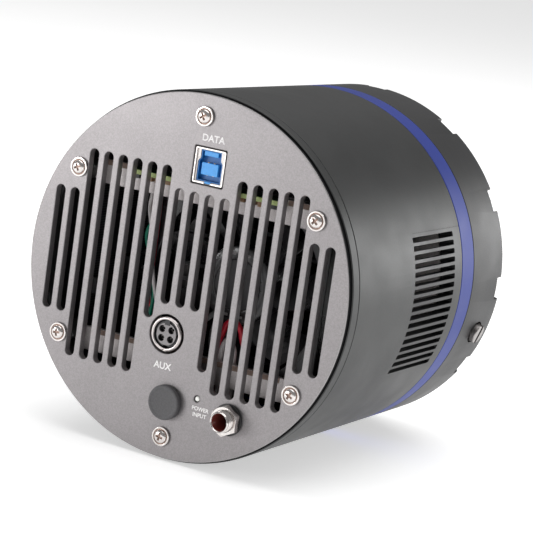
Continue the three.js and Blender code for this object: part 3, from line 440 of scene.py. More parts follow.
def circuit_mask(name, base, trace):
    """Solder mask with faint copper tracks under it."""
    material = surface(name, base, 0.35, grain=0.5, depth=0.004, mottle=0.06, coat=0.3)
    place = add_node(material, "TexCoord").outputs["Object"]
    turn = add_node(material, "Mapping", place, Rotation=(math.radians(90), 0, 0)).outputs["Vector"]
    tracks = add_node(material, "TexBrick", turn, Scale=260, Mortar_Size=0.06, Color1=(*base, 1),
                      Color2=(*[c * 0.8 for c in base], 1), Mortar=(*trace, 1))
    return recoloured(material, tracks.outputs["Color"])


PLATE_GREY = surface("plate_anodise", (0.255, 0.240, 0.244), 0.42, 0.62, grain=0.42, depth=0.02,
                     mottle=0.10)
GAP_SHADE_BLACK = surface("painted_gap_shade", (0.006, 0.006, 0.007), 0.8, 0.0, specular=0.12)
BARE_CHAMFER_HIGHLIGHT = surface("bare_chamfer_painted_highlight", (0.34, 0.33, 0.33), 0.4, 0.8)
SHELL_GREY = surface("shell_anodise", (0.040, 0.041, 0.041), 0.44, 0.45, grain=0.4, depth=0.022,
                     mottle=0.10)
HOUSING_GREY = surface("housing_anodise", (0.036, 0.036, 0.037), 0.45, 0.45, grain=0.4, depth=0.022,
                       mottle=0.10)
ACCENT_BLUE = surface("accent_anodise", (0.010, 0.032, 0.27), 0.5, 0.1, grain=0.35, depth=0.012,
                      mottle=0.05)
NICKEL = surface("nickel_plate", (0.72, 0.68, 0.66), 0.2, 1.0, grain=0.8, depth=0.004, mottle=0.04)
DARK_NICKEL_AND_SHADE = surface("dark_nickel_and_painted_shade", (0.36, 0.34, 0.33), 0.32, 1.0, grain=0.8, depth=0.006, mottle=0.08)
SATIN_NICKEL = surface("satin_nickel_plate", (0.50, 0.46, 0.45), 0.3, 1.0, grain=0.8, depth=0.005,
                       mottle=0.05)
RECESS_BROWN = surface("recess_shadow", (0.34, 0.24, 0.20), 0.5, 0.7, mottle=0.2)
STEEL = surface("plain_steel", (0.42, 0.42, 0.43), 0.34, 1.0)
BARE_ALUMINIUM = surface("blasted_aluminium", (0.60, 0.56, 0.56), 0.42, 0.75, grain=0.3, depth=0.02,
                         mottle=0.12)
BLACK_ANODISE_AND_SHADE = surface("black_anodise_and_painted_shade", (0.018, 0.018, 0.019), 0.5, 0.4)
FAN_PLASTIC = surface("fan_plastic", (0.022, 0.021, 0.023), 0.26, grain=0.8, depth=0.006, coat=0.4)
HUB_LABEL = surface("hub_label", (0.030, 0.028, 0.030), 0.35, 0.2, grain=0.6, depth=0.006)
BLACK_PLASTIC = surface("moulded_black", (0.016, 0.016, 0.017), 0.42, grain=0.5, depth=0.012)
RUBBER = surface("plug_rubber", (0.075, 0.073, 0.077), 0.62, grain=0.6, depth=0.03, mottle=0.12)
USB_BLUE = surface("socket_blue", (0.045, 0.30, 0.72), 0.34, grain=0.6, depth=0.006)
USB_BLUE_SHADED = surface("socket_blue_painted_shade", (0.004, 0.12, 0.36), 0.4, grain=0.6, depth=0.006)
INSERT_GREY = surface("insert_moulding", (0.23, 0.215, 0.22), 0.45, grain=0.5, depth=0.01)
INSERT_DARK = surface("insert_shadow", (0.02, 0.02, 0.022), 0.5)
LED_LENS = surface("led_lens", (0.92, 0.92, 0.88), 0.25, coat=0.5, grain=1.0, depth=0.002)
PRINT_WHITE = surface("white_print", (0.80, 0.78, 0.78), 0.55, grain=0.3, depth=0.004, mottle=0.08)
BOARD_GREEN = circuit_mask("green_mask", (0.018, 0.07, 0.03), (0.05, 0.15, 0.07))
BOARD_BLACK = circuit_mask("black_mask", (0.010, 0.011, 0.014), (0.05, 0.05, 0.055))
LIT_BOARD_EDGE = surface("board_edge_painted_light", (0.60, 0.72, 0.30), 0.6, grain=0.3, mottle=0.2)
CERAMIC = surface("alumina", (0.66, 0.63, 0.57), 0.5, grain=0.4, depth=0.01)
FOAM = surface("cell_foam", (0.02, 0.02, 0.021), 0.95, grain=1.2, depth=0.25, mottle=0.3)
BAR_SHADOW_BROWN = surface("edge_tape", (0.22, 0.15, 0.12), 0.6, grain=0.5, mottle=0.15)
TAN_PART = surface("capacitor_tan", (0.30, 0.17, 0.09), 0.5, grain=0.4)
CHIP_BLACK = surface("chip_epoxy", (0.02, 0.02, 0.022), 0.45, grain=0.3, depth=0.01)
GOLD = surface("gold_pad", (0.75, 0.53, 0.22), 0.3, 1.0)
GLASS = window_glass()
SILICON = sensor_face()
WIRE_GREEN = surface("wire_green_sleeve", (0.0, 0.22, 0.13), 0.4, grain=0.5, depth=0.006)
WIRE_WHITE = surface("wire_white_sleeve", (0.72, 0.68, 0.68), 0.4, grain=0.5, depth=0.006)
WIRE_RED = surface("wire_red_sleeve", (0.52, 0.01, 0.03), 0.4, grain=0.5, depth=0.006)
BORE_RED = surface("jack_lining", (0.24, 0.055, 0.045), 0.2)


# ------------------------------------------------------------------ casing
def slot_span(index):
    """Foot and head of a slot's end-arc centres, counted from the middle slot."""
    if abs(index) >= 8:
        return -SLOT_SHORT, SLOT_SHORT
    if index == -2:
        return SLOT_LEFT_OF_AUX_FOOT, SLOT_TALL
    if -1 <= index <= 1:
        return SLOT_ABOVE_AUX_FOOT, SLOT_BESIDE_USB_TOP
    if index == 2:
        return SLOT_RIGHT_OF_AUX_FOOT, SLOT_BESIDE_USB_TOP
    return -SLOT_TALL, SLOT_TALL


def make_rear_plate():
    radius = reach("rear_plate")
    outlines = [round_outline(0, 0, radius, ROUND_STEPS)]
    for index in range(-9, 10):
        foot, head = slot_span(index)
        outlines.append(slot_outline(index * SLOT_PITCH * MM, foot * MM, head * MM, SLOT_WIDTH * MM / 2))
    usb_x, usb_z = middle("usb_shell")
    usb = width_of("usb_shell") + 0.8 * MM
    outlines.append(box_outline(usb_x, usb_z, usb, usb + 0.3 * MM, 0.5 * MM))
    aux_radius = width_of("aux_shell") / 2 + 0.85 * MM
    outlines.append(round_outline(*middle("aux_shell"), aux_radius))
    outlines.append(round_outline(*middle("jack_barrel"), width_of("jack_barrel") / 2 + CLEARANCE * MM))
    outlines.append(round_outline(*middle("hole_plug"), 5.5 * MM))
    outlines.append(round_outline(*middle("status_led"), 1.25 * MM, 24))
    for angle in PLATE_SCREW_ANGLES:
        x, z = on_circle(PLATE_SCREW_CIRCLE * MM, angle)
        outlines.append(round_outline(x, z, 1.8 * MM, 24))
    plate = stamped(outlines, at(0), at(PLATE_THICKNESS), PLATE_EDGE * MM)
    rebate_radius = 60.7 * MM
    rebate = turned([
        (rebate_radius, at(PLATE_PROUD)),
        (radius + 2 * MM, at(PLATE_PROUD)),
        (radius + 2 * MM, at(PLATE_THICKNESS + 1)),
        (rebate_radius, at(PLATE_THICKNESS + 1)),
    ], ROUND_STEPS)
    plate = carved(plate, rebate)
    rim = radius - 0.02 * MM
    # The plate's proud side is painted black: painted shade of the gap between plate and ring.
    paint(plate, 1, lambda centre, normal: math.hypot(centre.x, centre.z) > radius - 0.1 * MM
          and centre.y > at(PLATE_EDGE))
    # The rim's chamfer gets a lighter bare-metal colour, lightened further as a painted highlight line.
    paint(plate, 2, lambda centre, normal: math.hypot(centre.x, centre.z) > rim - PLATE_EDGE * MM
          and centre.y < at(PLATE_EDGE) and abs(normal.y) < 0.99)
    piece("slotted_plate", plate, [PLATE_GREY, GAP_SHADE_BLACK, BARE_CHAMFER_HIGHLIGHT], ["rear_plate"])


def make_rear_ring():
    start, _ = span("rear_ring")
    end = span("main_shell")[0] - CLEARANCE * MM
    body = reach("main_shell")
    bore = body - SHELL_WALL * MM
    mouth = bore - 1 * MM
    shelf = mouth - 1.8 * MM
    shelf_y = at(PLATE_THICKNESS + CLEARANCE)
    spigot_end = end + 5 * MM
    ring = turned([
        (mouth, start, 0.2 * MM),
        (body, start, 0.35 * MM),
        (body, end, 0.15 * MM),
        (bore - CLEARANCE * MM, end),
        (bore - CLEARANCE * MM, spigot_end, 0.5 * MM),
        (shelf, spigot_end),
        (shelf, shelf_y),
        (mouth, shelf_y),
    ], ROUND_STEPS)
    lugs = []
    holes = []
    for angle in PLATE_SCREW_ANGLES:
        inner = (PLATE_SCREW_CIRCLE - 3.2) * MM
        lug = block((inner, shelf_y, -3.2 * MM), (shelf + 0.8 * MM, shelf_y + 5.8 * MM, 3.2 * MM), 0.6 * MM)
        lugs.append(rotated(lug, angle))
        x, z = on_circle(PLATE_SCREW_CIRCLE * MM, angle)
        holes.append(disc(1.8 * MM, shelf_y - 1 * MM, shelf_y + 7 * MM, (x, z), 24))
    ring = carved(carved(ring, joined(lugs), "UNION"), joined(holes))
    # The ring's rear face is painted black as painted shade in the gap behind the plate.
    paint(ring, 1, lambda centre, normal: centre.y < start + 0.02 * MM and normal.y < -0.9)
    piece("stepped_rear_ring", ring, [SHELL_GREY, GAP_SHADE_BLACK], ["rear_ring"])


def make_main_shell():
    start, end = span("main_shell")
    body = reach("main_shell")
    bore = body - SHELL_WALL * MM
    edge = 0.2 * MM
    shell = turned([(bore, start), (body, start, edge), (body, end, edge), (bore, end)], ROUND_STEPS)
    tools = []
    for index in range(VENT_COUNT):
        angle = VENT_CENTRE + (index - (VENT_COUNT - 1) / 2) * VENT_PITCH
        for turn in (angle, 180 - angle):
            half = VENT_WIDTH * MM / 2
            tool = bmesh.new()
            bmesh.ops.create_cube(tool, size=1)
            bmesh.ops.scale(tool, verts=tool.verts, vec=(8 * MM, (VENT_END - VENT_START) * MM, 2 * half))
            upright = [e for e in tool.edges if abs((e.verts[0].co - e.verts[1].co).x) > 1 * MM]
            bmesh.ops.bevel(tool, geom=upright, offset=VENT_CORNER * MM, offset_type="OFFSET", segments=3,
                            profile=0.5, affect="EDGES", material=-1, clamp_overlap=True)
            middle_y = at((VENT_START + VENT_END) / 2)
            bmesh.ops.translate(tool, verts=tool.verts, vec=(body - 1.5 * MM, middle_y, 0))
            tools.append(rotated(tool, turn))
    scribe = block((body - 0.25 * MM, at(VENT_START + 0.8), -0.12 * MM),
                   (body + 1 * MM, end + 1 * MM, 0.12 * MM))
    tools.append(rotated(scribe, SCRIBE_ANGLE))
    shell = carved(shell, joined(tools))
    inside = bore + 0.05 * MM
    # The inner wall and the cut walls of the vents and scribe line get the black finish as painted shade.
    paint(shell, 1, lambda centre, normal: math.hypot(centre.x, centre.z) < inside
          or (math.hypot(centre.x, centre.z) < body - 0.15 * MM and abs(normal.y) < 0.999
              and start + 1 * MM < centre.y < end - 1 * MM))
    piece("vented_shell", shell, [SHELL_GREY, BLACK_ANODISE_AND_SHADE], ["main_shell"])


def make_accent_ring():
    start, end = span("accent_ring")
    body = reach("accent_ring")
    bore = body - 4 * MM
    edge = 0.2 * MM
    ring = turned([(bore, start), (body, start, edge), (body, end, edge), (bore, end)], ROUND_STEPS)
    piece("blue_accent_ring", ring, ACCENT_BLUE, ["accent_ring"])


def port_tool(radius, inner, outer, corner=0.0):
    """A round solid on the dry-air port's axis, between two distances from the optical axis."""
    profile = [(0, inner), (radius, inner), (radius, outer, corner), (0, outer)]
    if not corner:
        profile[2] = (radius, outer)
    made = turned(profile, SMALL_STEPS, closed=False)
    rotated(made, -90, "Z")
    rotated(made, PORT_ANGLE)
    bmesh.ops.translate(made, verts=made.verts, vec=(0, at(PORT_STATION), 0))
    return made


def make_front_housing():
    body = reach("front_housing")
    start = span("accent_ring")[1] + CLEARANCE * MM
    front = span("adapter_ring")[0] - CLEARANCE * MM
    spigot_start = span("front_housing")[0]
    spigot = body - 4.3 * MM
    spigot_bore = spigot - 3.2 * MM
    window_end = span("chamber_window")[1]
    window = reach("chamber_window")
    retainer = reach("window_retainer") + CLEARANCE * MM
    seat = span("window_seal")[0] - CLEARANCE * MM
    wall_start = front - 14 * MM
    housing = turned([
        (spigot_bore, spigot_start),
        (spigot, spigot_start, 0.4 * MM),
        (spigot, start),
        (body, start, 0.2 * MM),
        (body, front, 3 * MM),
        (retainer, front, 0.4 * MM),
        (retainer, window_end + CLEARANCE * MM),
        (window + CLEARANCE * MM, window_end + CLEARANCE * MM),
        (window + CLEARANCE * MM, seat),
        (window - 3 * MM, seat, 0.3 * MM),
        (window - 3 * MM, wall_start, 0.5 * MM),
        (spigot_bore, wall_start),
    ], ROUND_STEPS)
    floor = front - NOTCH_DEPTH * MM
    tools = []
    for index in range(NOTCH_COUNT):
        angle = FRONT_CLOCKING + index * 360 / NOTCH_COUNT
        x, z = on_circle(NOTCH_CIRCLE * MM, angle)
        half = NOTCH_WIDTH * MM / 2
        notch = box_outline(0, 0, 2 * half + 8 * MM, 2 * half, half * 0.98)
        tool = stamped([notch], floor, front + 2 * MM, 0.0, 0)
        bmesh.ops.translate(tool, verts=tool.verts, vec=(NOTCH_CIRCLE * MM + 4 * MM, 0, 0))
        tools.append(rotated(tool, angle))
        tools.append(disc(1.7 * MM, floor - 9 * MM, floor - 0.01 * MM, (x, z), 24))
    housing = carved(housing, joined(tools[0::2]))
    housing = carved(housing, joined(tools[1::2]))
    housing = carved(housing, port_tool(3.3 * MM, spigot_bore - 2 * MM, body + 1 * MM))
    housing = carved(housing, port_tool(4.5 * MM, body - 1.1 * MM, body + 2 * MM))
    piece("notched_housing", housing, HOUSING_GREY, ["front_housing"])


def make_adapter_ring():
    start, end = span("adapter_ring")
    outer = reach("adapter_ring")
    bore = 42 * MM
    groove = 1.6 * MM
    pitch = 0.75 * MM
    profile = [
        (bore + 0.4 * MM, start),
        (outer, start, 0.2 * MM),
        (outer, start + 3.2 * MM, 0.15 * MM),
        (outer - groove, start + 4.2 * MM, 0.2 * MM),
        (outer - groove, end - 4.2 * MM, 0.2 * MM),
        (outer, end - 3.2 * MM, 0.15 * MM),
        (outer, end, 0.8 * MM),
        (bore + 1.2 * MM, end),
        (bore + 0.4 * MM, end - 0.9 * MM),
    ]
    turns = int((end - start - 2.2 * MM) / pitch)
    for turn in range(turns):
        top = end - 1.2 * MM - turn * pitch
        profile.append((bore + 0.4 * MM, top))
        profile.append((bore, top - 0.36 * pitch))
        profile.append((bore, top - 0.5 * pitch))
    ring = turned(profile, ROUND_STEPS)
    piece("threaded_adapter", ring, HOUSING_GREY, ["adapter_ring"], sharp=28)


# ------------------------------------------------------------------ screws
def cross_recess(radius, depth, top, centre, turn):
    """A tapered cross to cut into a screw head that faces -Y."""
    wings = []
    for quarter in (0, 90):
        half = 0.25 * radius
        wing = block((-radius, top - 0.2 * MM, -half), (radius, top + depth, half))
        for vert in wing.verts:
            if vert.co.y > top:
                vert.co.x *= 0.45
                vert.co.z *= 0.75
        wings.append(rotated(wing, quarter + turn))
    cross = carved(wings[0], wings[1], "UNION")
    bmesh.ops.translate(cross, verts=cross.verts, vec=(centre[0], 0, centre[1]))
    return cross


def make_rear_screws():
    for index in range(1, 7):
        node = f"rear_screw_{index}"
        centre = middle(node)
        top, tip = span(node)
        seat = at(-CLEARANCE)
        flange = width_of(node) / 2
        screw = turned([
            (0, top),
            (1.2 * MM, top + 0.03 * MM),
            (1.95 * MM, top + 0.25 * MM, 0.25 * MM),
            (2.40 * MM, top + 0.75 * MM, 0.2 * MM),
            (2.45 * MM, seat - 0.25 * MM),
            (2.80 * MM, seat - 0.25 * MM),
            (2.85 * MM, seat - 0.58 * MM, 0.06 * MM),
            (flange - 0.08 * MM, seat - 0.56 * MM, 0.14 * MM),
            (flange, seat),
            (1.5 * MM, seat),
            (1.5 * MM, tip - 0.4 * MM),
            (1.1 * MM, tip),
            (0, tip),
        ], SMALL_STEPS, centre, closed=False)
        screw = carved(screw, cross_recess(1.75 * MM, 0.7 * MM, top, centre, 17 * index + 12))
        paint(screw, 1, lambda spot, normal: math.hypot(spot.x - centre[0], spot.z - centre[1]) < 1.76 * MM
              and top + 0.2 * MM < spot.y < top + 0.95 * MM)
        paint(screw, 1, lambda spot, normal: spot.y > seat - 0.27 * MM and spot.y < seat - 0.23 * MM)
        piece(f"plate_screw_{index}", screw, [NICKEL, RECESS_BROWN], [node])


def make_rim_screws():
    for index in range(1, NOTCH_COUNT + 1):
        node = f"rim_screw_{index}"
        centre = middle(node)
        tip, top = span(node)
        seat = top - 3.2 * MM
        head = width_of(node) / 2
        screw = turned([
            (0, top),
            (0.5 * head, top - 0.05 * MM),
            (0.85 * head, top - 0.4 * MM, 0.3 * MM),
            (head, top - 1.3 * MM, 0.3 * MM),
            (head, seat),
            (1.4 * MM, seat),
            (1.4 * MM, tip),
            (0, tip),
        ], SCREW_STEPS, centre, closed=False)
        cross = cross_recess(1.5 * MM, 0.9 * MM, 0, (0, 0), 23 * index)
        rotated(cross, 180, "Z")
        bmesh.ops.translate(cross, verts=cross.verts, vec=(centre[0], top, centre[1]))
        screw = carved(screw, cross)
        paint(screw, 1, lambda spot, normal: math.hypot(spot.x - centre[0], spot.z - centre[1]) < 1.5 * MM
              and top - 1 * MM < spot.y < top - 0.25 * MM)
        piece(f"housing_screw_{index}", screw, [NICKEL, RECESS_BROWN], [node])


def make_port_screw():
    body = reach("main_shell")
    seat = body - 0.8 * MM
    crown = seat + 2.8 * MM
    head = port_tool(3.7 * MM, seat, crown, 0.4 * MM)
    thread = port_tool(3 * MM, body - 7 * MM, seat + 0.2 * MM)
    screw = carved(head, thread, "UNION")
    slot = block((-1.9 * MM, -6 * MM, -0.9 * MM), (1.9 * MM, 6 * MM, 0.9 * MM))
    rotated(slot, 81, "X")
    bmesh.ops.translate(slot, verts=slot.verts, vec=(crown, 0, 0))
    rotated(slot, PORT_ANGLE)
    bmesh.ops.translate(slot, verts=slot.verts, vec=(0, at(PORT_STATION), 0))
    screw = carved(screw, slot)
    piece("slotted_port_screw", screw, DARK_NICKEL_AND_SHADE, ["port_screw"], body="port_screw")


# ------------------------------------------------------------------ ports
def usb_mouth(x, z, margin):
    """A wide lower part, sloping shoulders and a narrow upper part."""
    wide = 4.9 * MM - margin
    narrow = 4.1 * MM - margin
    tall = 5.5 * MM - margin
    right = [(wide, -tall), (wide, 1.4 * MM), (narrow, 2.5 * MM), (narrow, tall)]
    left = [(-across, up) for across, up in reversed(right)]
    return [(x + across, z + up) for across, up in right + left]


def make_usb_socket():
    x, z = middle("usb_shell")
    start, end = span("usb_shell")
    lowest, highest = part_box("usb_shell")
    width = highest.x - lowest.x
    height = highest.z - lowest.z
    rim = box_outline(x, z, width, height, 0.6 * MM)
    inside = box_outline(x, z, width - 1 * MM, height - 1 * MM, 0.3 * MM)
    shell = stamped([rim, usb_mouth(x, z, 0)], start, end, 0.1 * MM)
    shell = carved(shell, stamped([inside], start - 1 * MM, start + 0.5 * MM, 0.0, 0))
    notch = block((x - 1.3 * MM, start - 1 * MM, z - 6.1 * MM),
                  (x + 1.3 * MM, start + 2.5 * MM, z - 5.3 * MM))
    shell = carved(shell, notch)
    # The walls behind the shell's front lip get the darker nickel as painted shade.
    paint(shell, 1, lambda spot, normal: start + 0.45 * MM < spot.y < end - 1 * MM)
    piece("usb_metal_shell", shell, [NICKEL, DARK_NICKEL_AND_SHADE], ["usb_shell"])
    front = start + 0.7 * MM
    floor = start + 2.6 * MM
    liner = stamped([usb_mouth(x, z, 0.08 * MM), usb_mouth(x, z, 0.5 * MM)], front, end - 3 * MM, 0.05 * MM)
    back = stamped([usb_mouth(x, z, 0.3 * MM)], floor, end, 0.05 * MM)
    # The liner and back wall take a darker copy of the socket's blue as painted shade.
    piece("usb_liner", joined([liner, back]), USB_BLUE_SHADED)
    tongue_start = span("usb_insulator")[0]
    tongue_end = end - 2 * MM
    lower = block((x - 3.3 * MM, tongue_start, z - 3.1 * MM),
                  (x + 3.3 * MM, tongue_end, z + 1.1 * MM), 0.15 * MM)
    upper = block((x - 2.8 * MM, tongue_start, z + 3.5 * MM),
                  (x + 2.8 * MM, tongue_end, z + 5.1 * MM), 0.15 * MM)
    foot = block((x - 1.2 * MM, start + 0.2 * MM, z - 6.0 * MM),
                 (x + 1.2 * MM, start + 2.4 * MM, z - 5.35 * MM), 0.08 * MM)
    piece("usb_tongues", joined([lower, upper, foot]), USB_BLUE, ["usb_insulator"])
    contacts = []
    for side in (-1, 1):
        for level in (-3.15, 1.2):
            left = x + side * 1.2 * MM
            contacts.append(block((left - 0.3 * MM, tongue_start + 0.8 * MM, z + level * MM - 0.12 * MM),
                                  (left + 0.3 * MM, floor, z + level * MM), 0.02 * MM))
    piece("usb_contacts", joined(contacts), GOLD)


def make_aux_socket():
    x, z = middle("aux_shell")
    start, end = span("aux_shell")
    radius = width_of("aux_shell") / 2
    bore = 5 * MM
    shell = turned([
        (bore, start + 0.3 * MM),
        (bore + 0.2 * MM, start, 0.08 * MM),
        (radius - 0.35 * MM, start, 0.1 * MM),
        (radius, start + 0.5 * MM),
        (radius, end),
        (bore, end),
    ], MEDIUM_STEPS, (x, z))
    notch = block((x - 0.7 * MM, start - 1 * MM, z - radius - 1 * MM),
                  (x + 0.7 * MM, start + 0.5 * MM, z - bore - 0.3 * MM))
    shell = carved(shell, notch)
    paint(shell, 1, lambda spot, normal: math.hypot(spot.x - x, spot.z - z) < bore + 0.05 * MM
          and spot.y > start + 0.3 * MM)
    piece("aux_metal_shell", shell, [SATIN_NICKEL, INSERT_DARK], ["aux_shell"])

    face = span("aux_insert")[0]
    insert_radius = bore - CLEARANCE * MM
    insert = turned([
        (0, face),
        (insert_radius - 0.7 * MM, face, 0.1 * MM),
        (insert_radius - 0.6 * MM, face + 0.5 * MM),
        (insert_radius, face + 0.5 * MM, 0.1 * MM),
        (insert_radius, end),
        (0, end),
    ], MEDIUM_STEPS, (x, z), closed=False)
    tools = []
    sleeves = []
    for side in (-1, 1):
        for row in (-1, 1):
            hole = (x + side * 1.87 * MM, z + row * 1.62 * MM)
            tools.append(disc(1.25 * MM, face - 1 * MM, face + 6 * MM, hole, 24))
            sleeves.append(turned([
                (0.55 * MM, face + 1.6 * MM),
                (0.82 * MM, face + 1.6 * MM),
                (0.82 * MM, face + 5 * MM),
                (0.55 * MM, face + 5 * MM),
            ], 24, hole))
    tools.append(block((x - 1.1 * MM, face - 1 * MM, z + 3.2 * MM), (x + 1.1 * MM, end + 1 * MM, z + 6 * MM)))
    tools.append(block((x - 0.9 * MM, face - 1 * MM, z - 6 * MM),
                       (x + 0.9 * MM, face + 3 * MM, z - 3.9 * MM)))
    for side in (-1, 1):
        near, far = sorted((x + side * 4.0 * MM, x + side * 6 * MM))
        tools.append(block((near, face - 1 * MM, z - 0.6 * MM), (far, face + 3 * MM, z + 0.6 * MM)))
    insert = carved(insert, joined(tools))
    paint(insert, 1, lambda spot, normal: spot.y > face + 0.25 * MM)
    piece("aux_moulding", insert, [INSERT_GREY, INSERT_DARK], ["aux_insert"])
    piece("aux_contacts", joined(sleeves), NICKEL)
    key = block((x - 1.0 * MM, face - 0.1 * MM, z + 3.3 * MM),
                (x + 1.0 * MM, end - 1 * MM, z + 4.9 * MM), 0.1 * MM)
    piece("aux_key", key, INSERT_DARK)


def make_power_jack():
    x, z = middle("jack_barrel")
    mouth, end = span("jack_barrel")
    radius = width_of("jack_barrel") / 2
    bore = 3 * MM
    nut_start, nut_end = span("jack_nut")
    pitch = 0.9 * MM
    root = radius - 0.42 * MM
    profile = [
        (0, end - 1.5 * MM),
        (bore, end - 1.5 * MM),
        (bore, mouth + 0.5 * MM),
        (bore + 0.25 * MM, mouth + 0.05 * MM),
        (bore + 0.32 * MM, mouth),
        (radius - 0.45 * MM, mouth, 0.08 * MM),
        (radius - 0.15 * MM, mouth + 0.5 * MM),
        (radius - 0.15 * MM, mouth + 0.9 * MM),
    ]
    y = mouth + 0.9 * MM
    while y + pitch < at(1):
        profile += [(root, y + 0.3 * pitch), (root, y + 0.45 * pitch),
                    (radius, y + 0.8 * pitch), (radius, y + pitch)]
        y += pitch
    profile += [(radius, end), (0, end)]
    barrel = turned(profile, SMALL_STEPS, (x, z), closed=False)
    paint(barrel, 1, lambda spot, normal: math.hypot(spot.x - x, spot.z - z) < bore + 0.02 * MM
          and spot.y > mouth + 0.5 * MM)
    piece("jack_threaded_barrel", barrel, [NICKEL, BORE_RED], ["jack_barrel"], sharp=28)

    pin_start, pin_end = span("jack_pin")
    pin = turned([
        (0, pin_start),
        (0.95 * MM, pin_start, 0.3 * MM),
        (0.95 * MM, pin_end),
        (0, pin_end),
    ], SCREW_STEPS, (x, z), closed=False)
    spring = block((bore - 0.55 * MM, mouth + 1.2 * MM, -0.45 * MM),
                   (bore - 0.15 * MM, mouth + 6 * MM, 0.45 * MM), 0.12 * MM)
    bmesh.ops.translate(spring, verts=spring.verts, vec=(x, 0, z))
    piece("jack_centre_pin", pin, NICKEL, ["jack_pin"])
    piece("jack_spring_contact", spring, NICKEL)

    washer_start, washer_end = span("jack_washer")
    washer = turned([
        (radius + 0.25 * MM, washer_start),
        (width_of("jack_washer") / 2, washer_start, 0.12 * MM),
        (width_of("jack_washer") / 2, washer_end),
        (radius + 0.25 * MM, washer_end),
    ], SMALL_STEPS, (x, z))
    piece("jack_flat_washer", washer, BLACK_PLASTIC, ["jack_washer"])

    flats = 9.8 * MM
    corner = flats / 2 / math.cos(math.radians(30))
    hexagon = [on_circle(corner, 28 + 60 * index) for index in range(6)]
    nut = stamped([hexagon], nut_start, nut_end, 0.0, 0)
    low = nut_start - 0.01 * MM
    high = nut_end + 0.01 * MM
    slope = 0.45 * MM
    rounded = turned([
        (0, low),
        (flats / 2 - 0.05 * MM, low),
        (corner + 0.05 * MM, low + slope),
        (corner + 0.05 * MM, high - slope),
        (flats / 2 - 0.05 * MM, high),
        (0, high),
    ], MEDIUM_STEPS, closed=False)
    nut = carved(nut, rounded, "INTERSECT")
    nut = carved(nut, disc(radius + 0.15 * MM, nut_start - 1 * MM, nut_end + 1 * MM, steps=SMALL_STEPS))
    bmesh.ops.translate(nut, verts=nut.verts, vec=(x, 0, z))
    piece("jack_hex_nut", nut, NICKEL, ["jack_nut"])


def make_led_and_plug():
    x, z = middle("status_led")
    start, end = span("status_led")
    lens = turned([
        (0, start),
        (0.6 * MM, start + 0.06 * MM),
        (0.88 * MM, start + 0.3 * MM),
        (0.95 * MM, start + 0.7 * MM),
        (0.95 * MM, end),
        (0, end),
    ], SCREW_STEPS, (x, z), closed=False)
    piece("led_light_pipe", lens, LED_LENS, ["status_led"])
    top, tip = span("hole_plug")
    head = width_of("hole_plug") / 2
    seat = at(-CLEARANCE)
    plug = turned([
        (0, top + 0.12 * MM),
        (head - 1.4 * MM, top + 0.12 * MM, 0.1 * MM),
        (head - 1.1 * MM, top, 0.1 * MM),
        (head, top, 0.6 * MM),
        (head, seat, 0.15 * MM),
        (5.2 * MM, seat),
        (5.2 * MM, tip - 0.8 * MM, 0.3 * MM),
        (4.4 * MM, tip, 0.2 * MM),
        (0, tip),
    ], MEDIUM_STEPS, middle("hole_plug"), closed=False)
    piece("rubber_hole_plug", plug, RUBBER, ["hole_plug"], body="hole_plug")


def make_labels():
    """Plain words by the ports, each placed from its port's centre."""
    depth = 0.04 * MM
    for name, text, height, node, across, up in (
        ("label_data", "DATA", 2.3, "usb_shell", 0.4, 8.6),
        ("label_aux", "AUX", 2.3, "aux_shell", 0.1, -12.4),
        ("label_power", "POWER", 1.35, "jack_barrel", -11.6, 0.1),
        ("label_input", "INPUT", 1.35, "jack_barrel", -11.6, -2.1),
    ):
        x, z = middle(node)
        print_mesh = lettering(text, height * MM, x + across * MM, z + up * MM, at(0), depth)
        piece(name, print_mesh, PRINT_WHITE)


# ------------------------------------------------------------------ what lies inside
def segment_outline(radius, level):
    half = math.degrees(math.acos(-level / radius))
    return arc(0, 0, radius, -90 - half, -90 + half, 48)


def make_boards():
    low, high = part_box("io_board")
    board = block(low, high, 0.08 * MM)
    # The board's edges get their yellow-green brightened as painted light.
    paint(board, 1, lambda spot, normal: abs(normal.z) < 0.5)
    piece("socket_board", board, [BOARD_GREEN, LIT_BOARD_EDGE], ["io_board"])
    tan = []
    dark = []
    for index in range(13):
        across = (-28 + 4.7 * index) * MM
        wide = (1.5 + 0.5 * (index % 2)) * MM
        group = tan if index % 4 else dark
        foot = low.z - (1.5 + 0.15 * (index % 3)) * MM
        group.append(block((across - wide, low.y + 0.5 * MM, foot),
                           (across + wide, low.y + 3.4 * MM, low.z), 0.12 * MM))
    piece("board_capacitors", joined(tan), TAN_PART)
    piece("board_chips", joined(dark), CHIP_BLACK)

    start, end = span("power_board")
    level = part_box("power_board")[1].z
    supply = stamped([segment_outline(POWER_BOARD_RADIUS * MM, level)], start, end, 0.05 * MM, 0)
    piece("supply_board", supply, BOARD_BLACK, ["power_board"])

    lowest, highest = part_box("main_board")
    board = block((lowest.x, lowest.y, lowest.z), (lowest.x + 1.6 * MM, highest.y, highest.z), 0.1 * MM)
    chips = []
    for offset, level, length, size in ((17, 4, 15, 7.5), (9, -15, 12, 3), (30, 12, 6, 2.5), (28, -9, 8, 3)):
        chips.append(block((lowest.x + 1.6 * MM, lowest.y + (offset - length / 2) * MM, (level - size) * MM),
                           (highest.x, lowest.y + (offset + length / 2) * MM, (level + size) * MM), 0.2 * MM))
    piece("control_board", board, BOARD_BLACK, ["main_board"])
    piece("control_chips", joined(chips), CHIP_BLACK)


def bar_outline(level, inward):
    """A level strip whose two corners nearer the fan's middle are rounded."""
    half = math.sqrt(BAR_REACH ** 2 - (level / MM) ** 2) * MM
    corner = BAR_CORNER * MM
    centre = level + inward * (BAR_WIDTH * MM / 2 - corner)
    outer = level - inward * BAR_WIDTH * MM / 2
    right = arc(half - corner, centre, corner, 0, inward * 90, 10)
    left = arc(corner - half, centre, corner, inward * 90, inward * 180, 10)
    return right + left + [(-half, outer), (half, outer)]


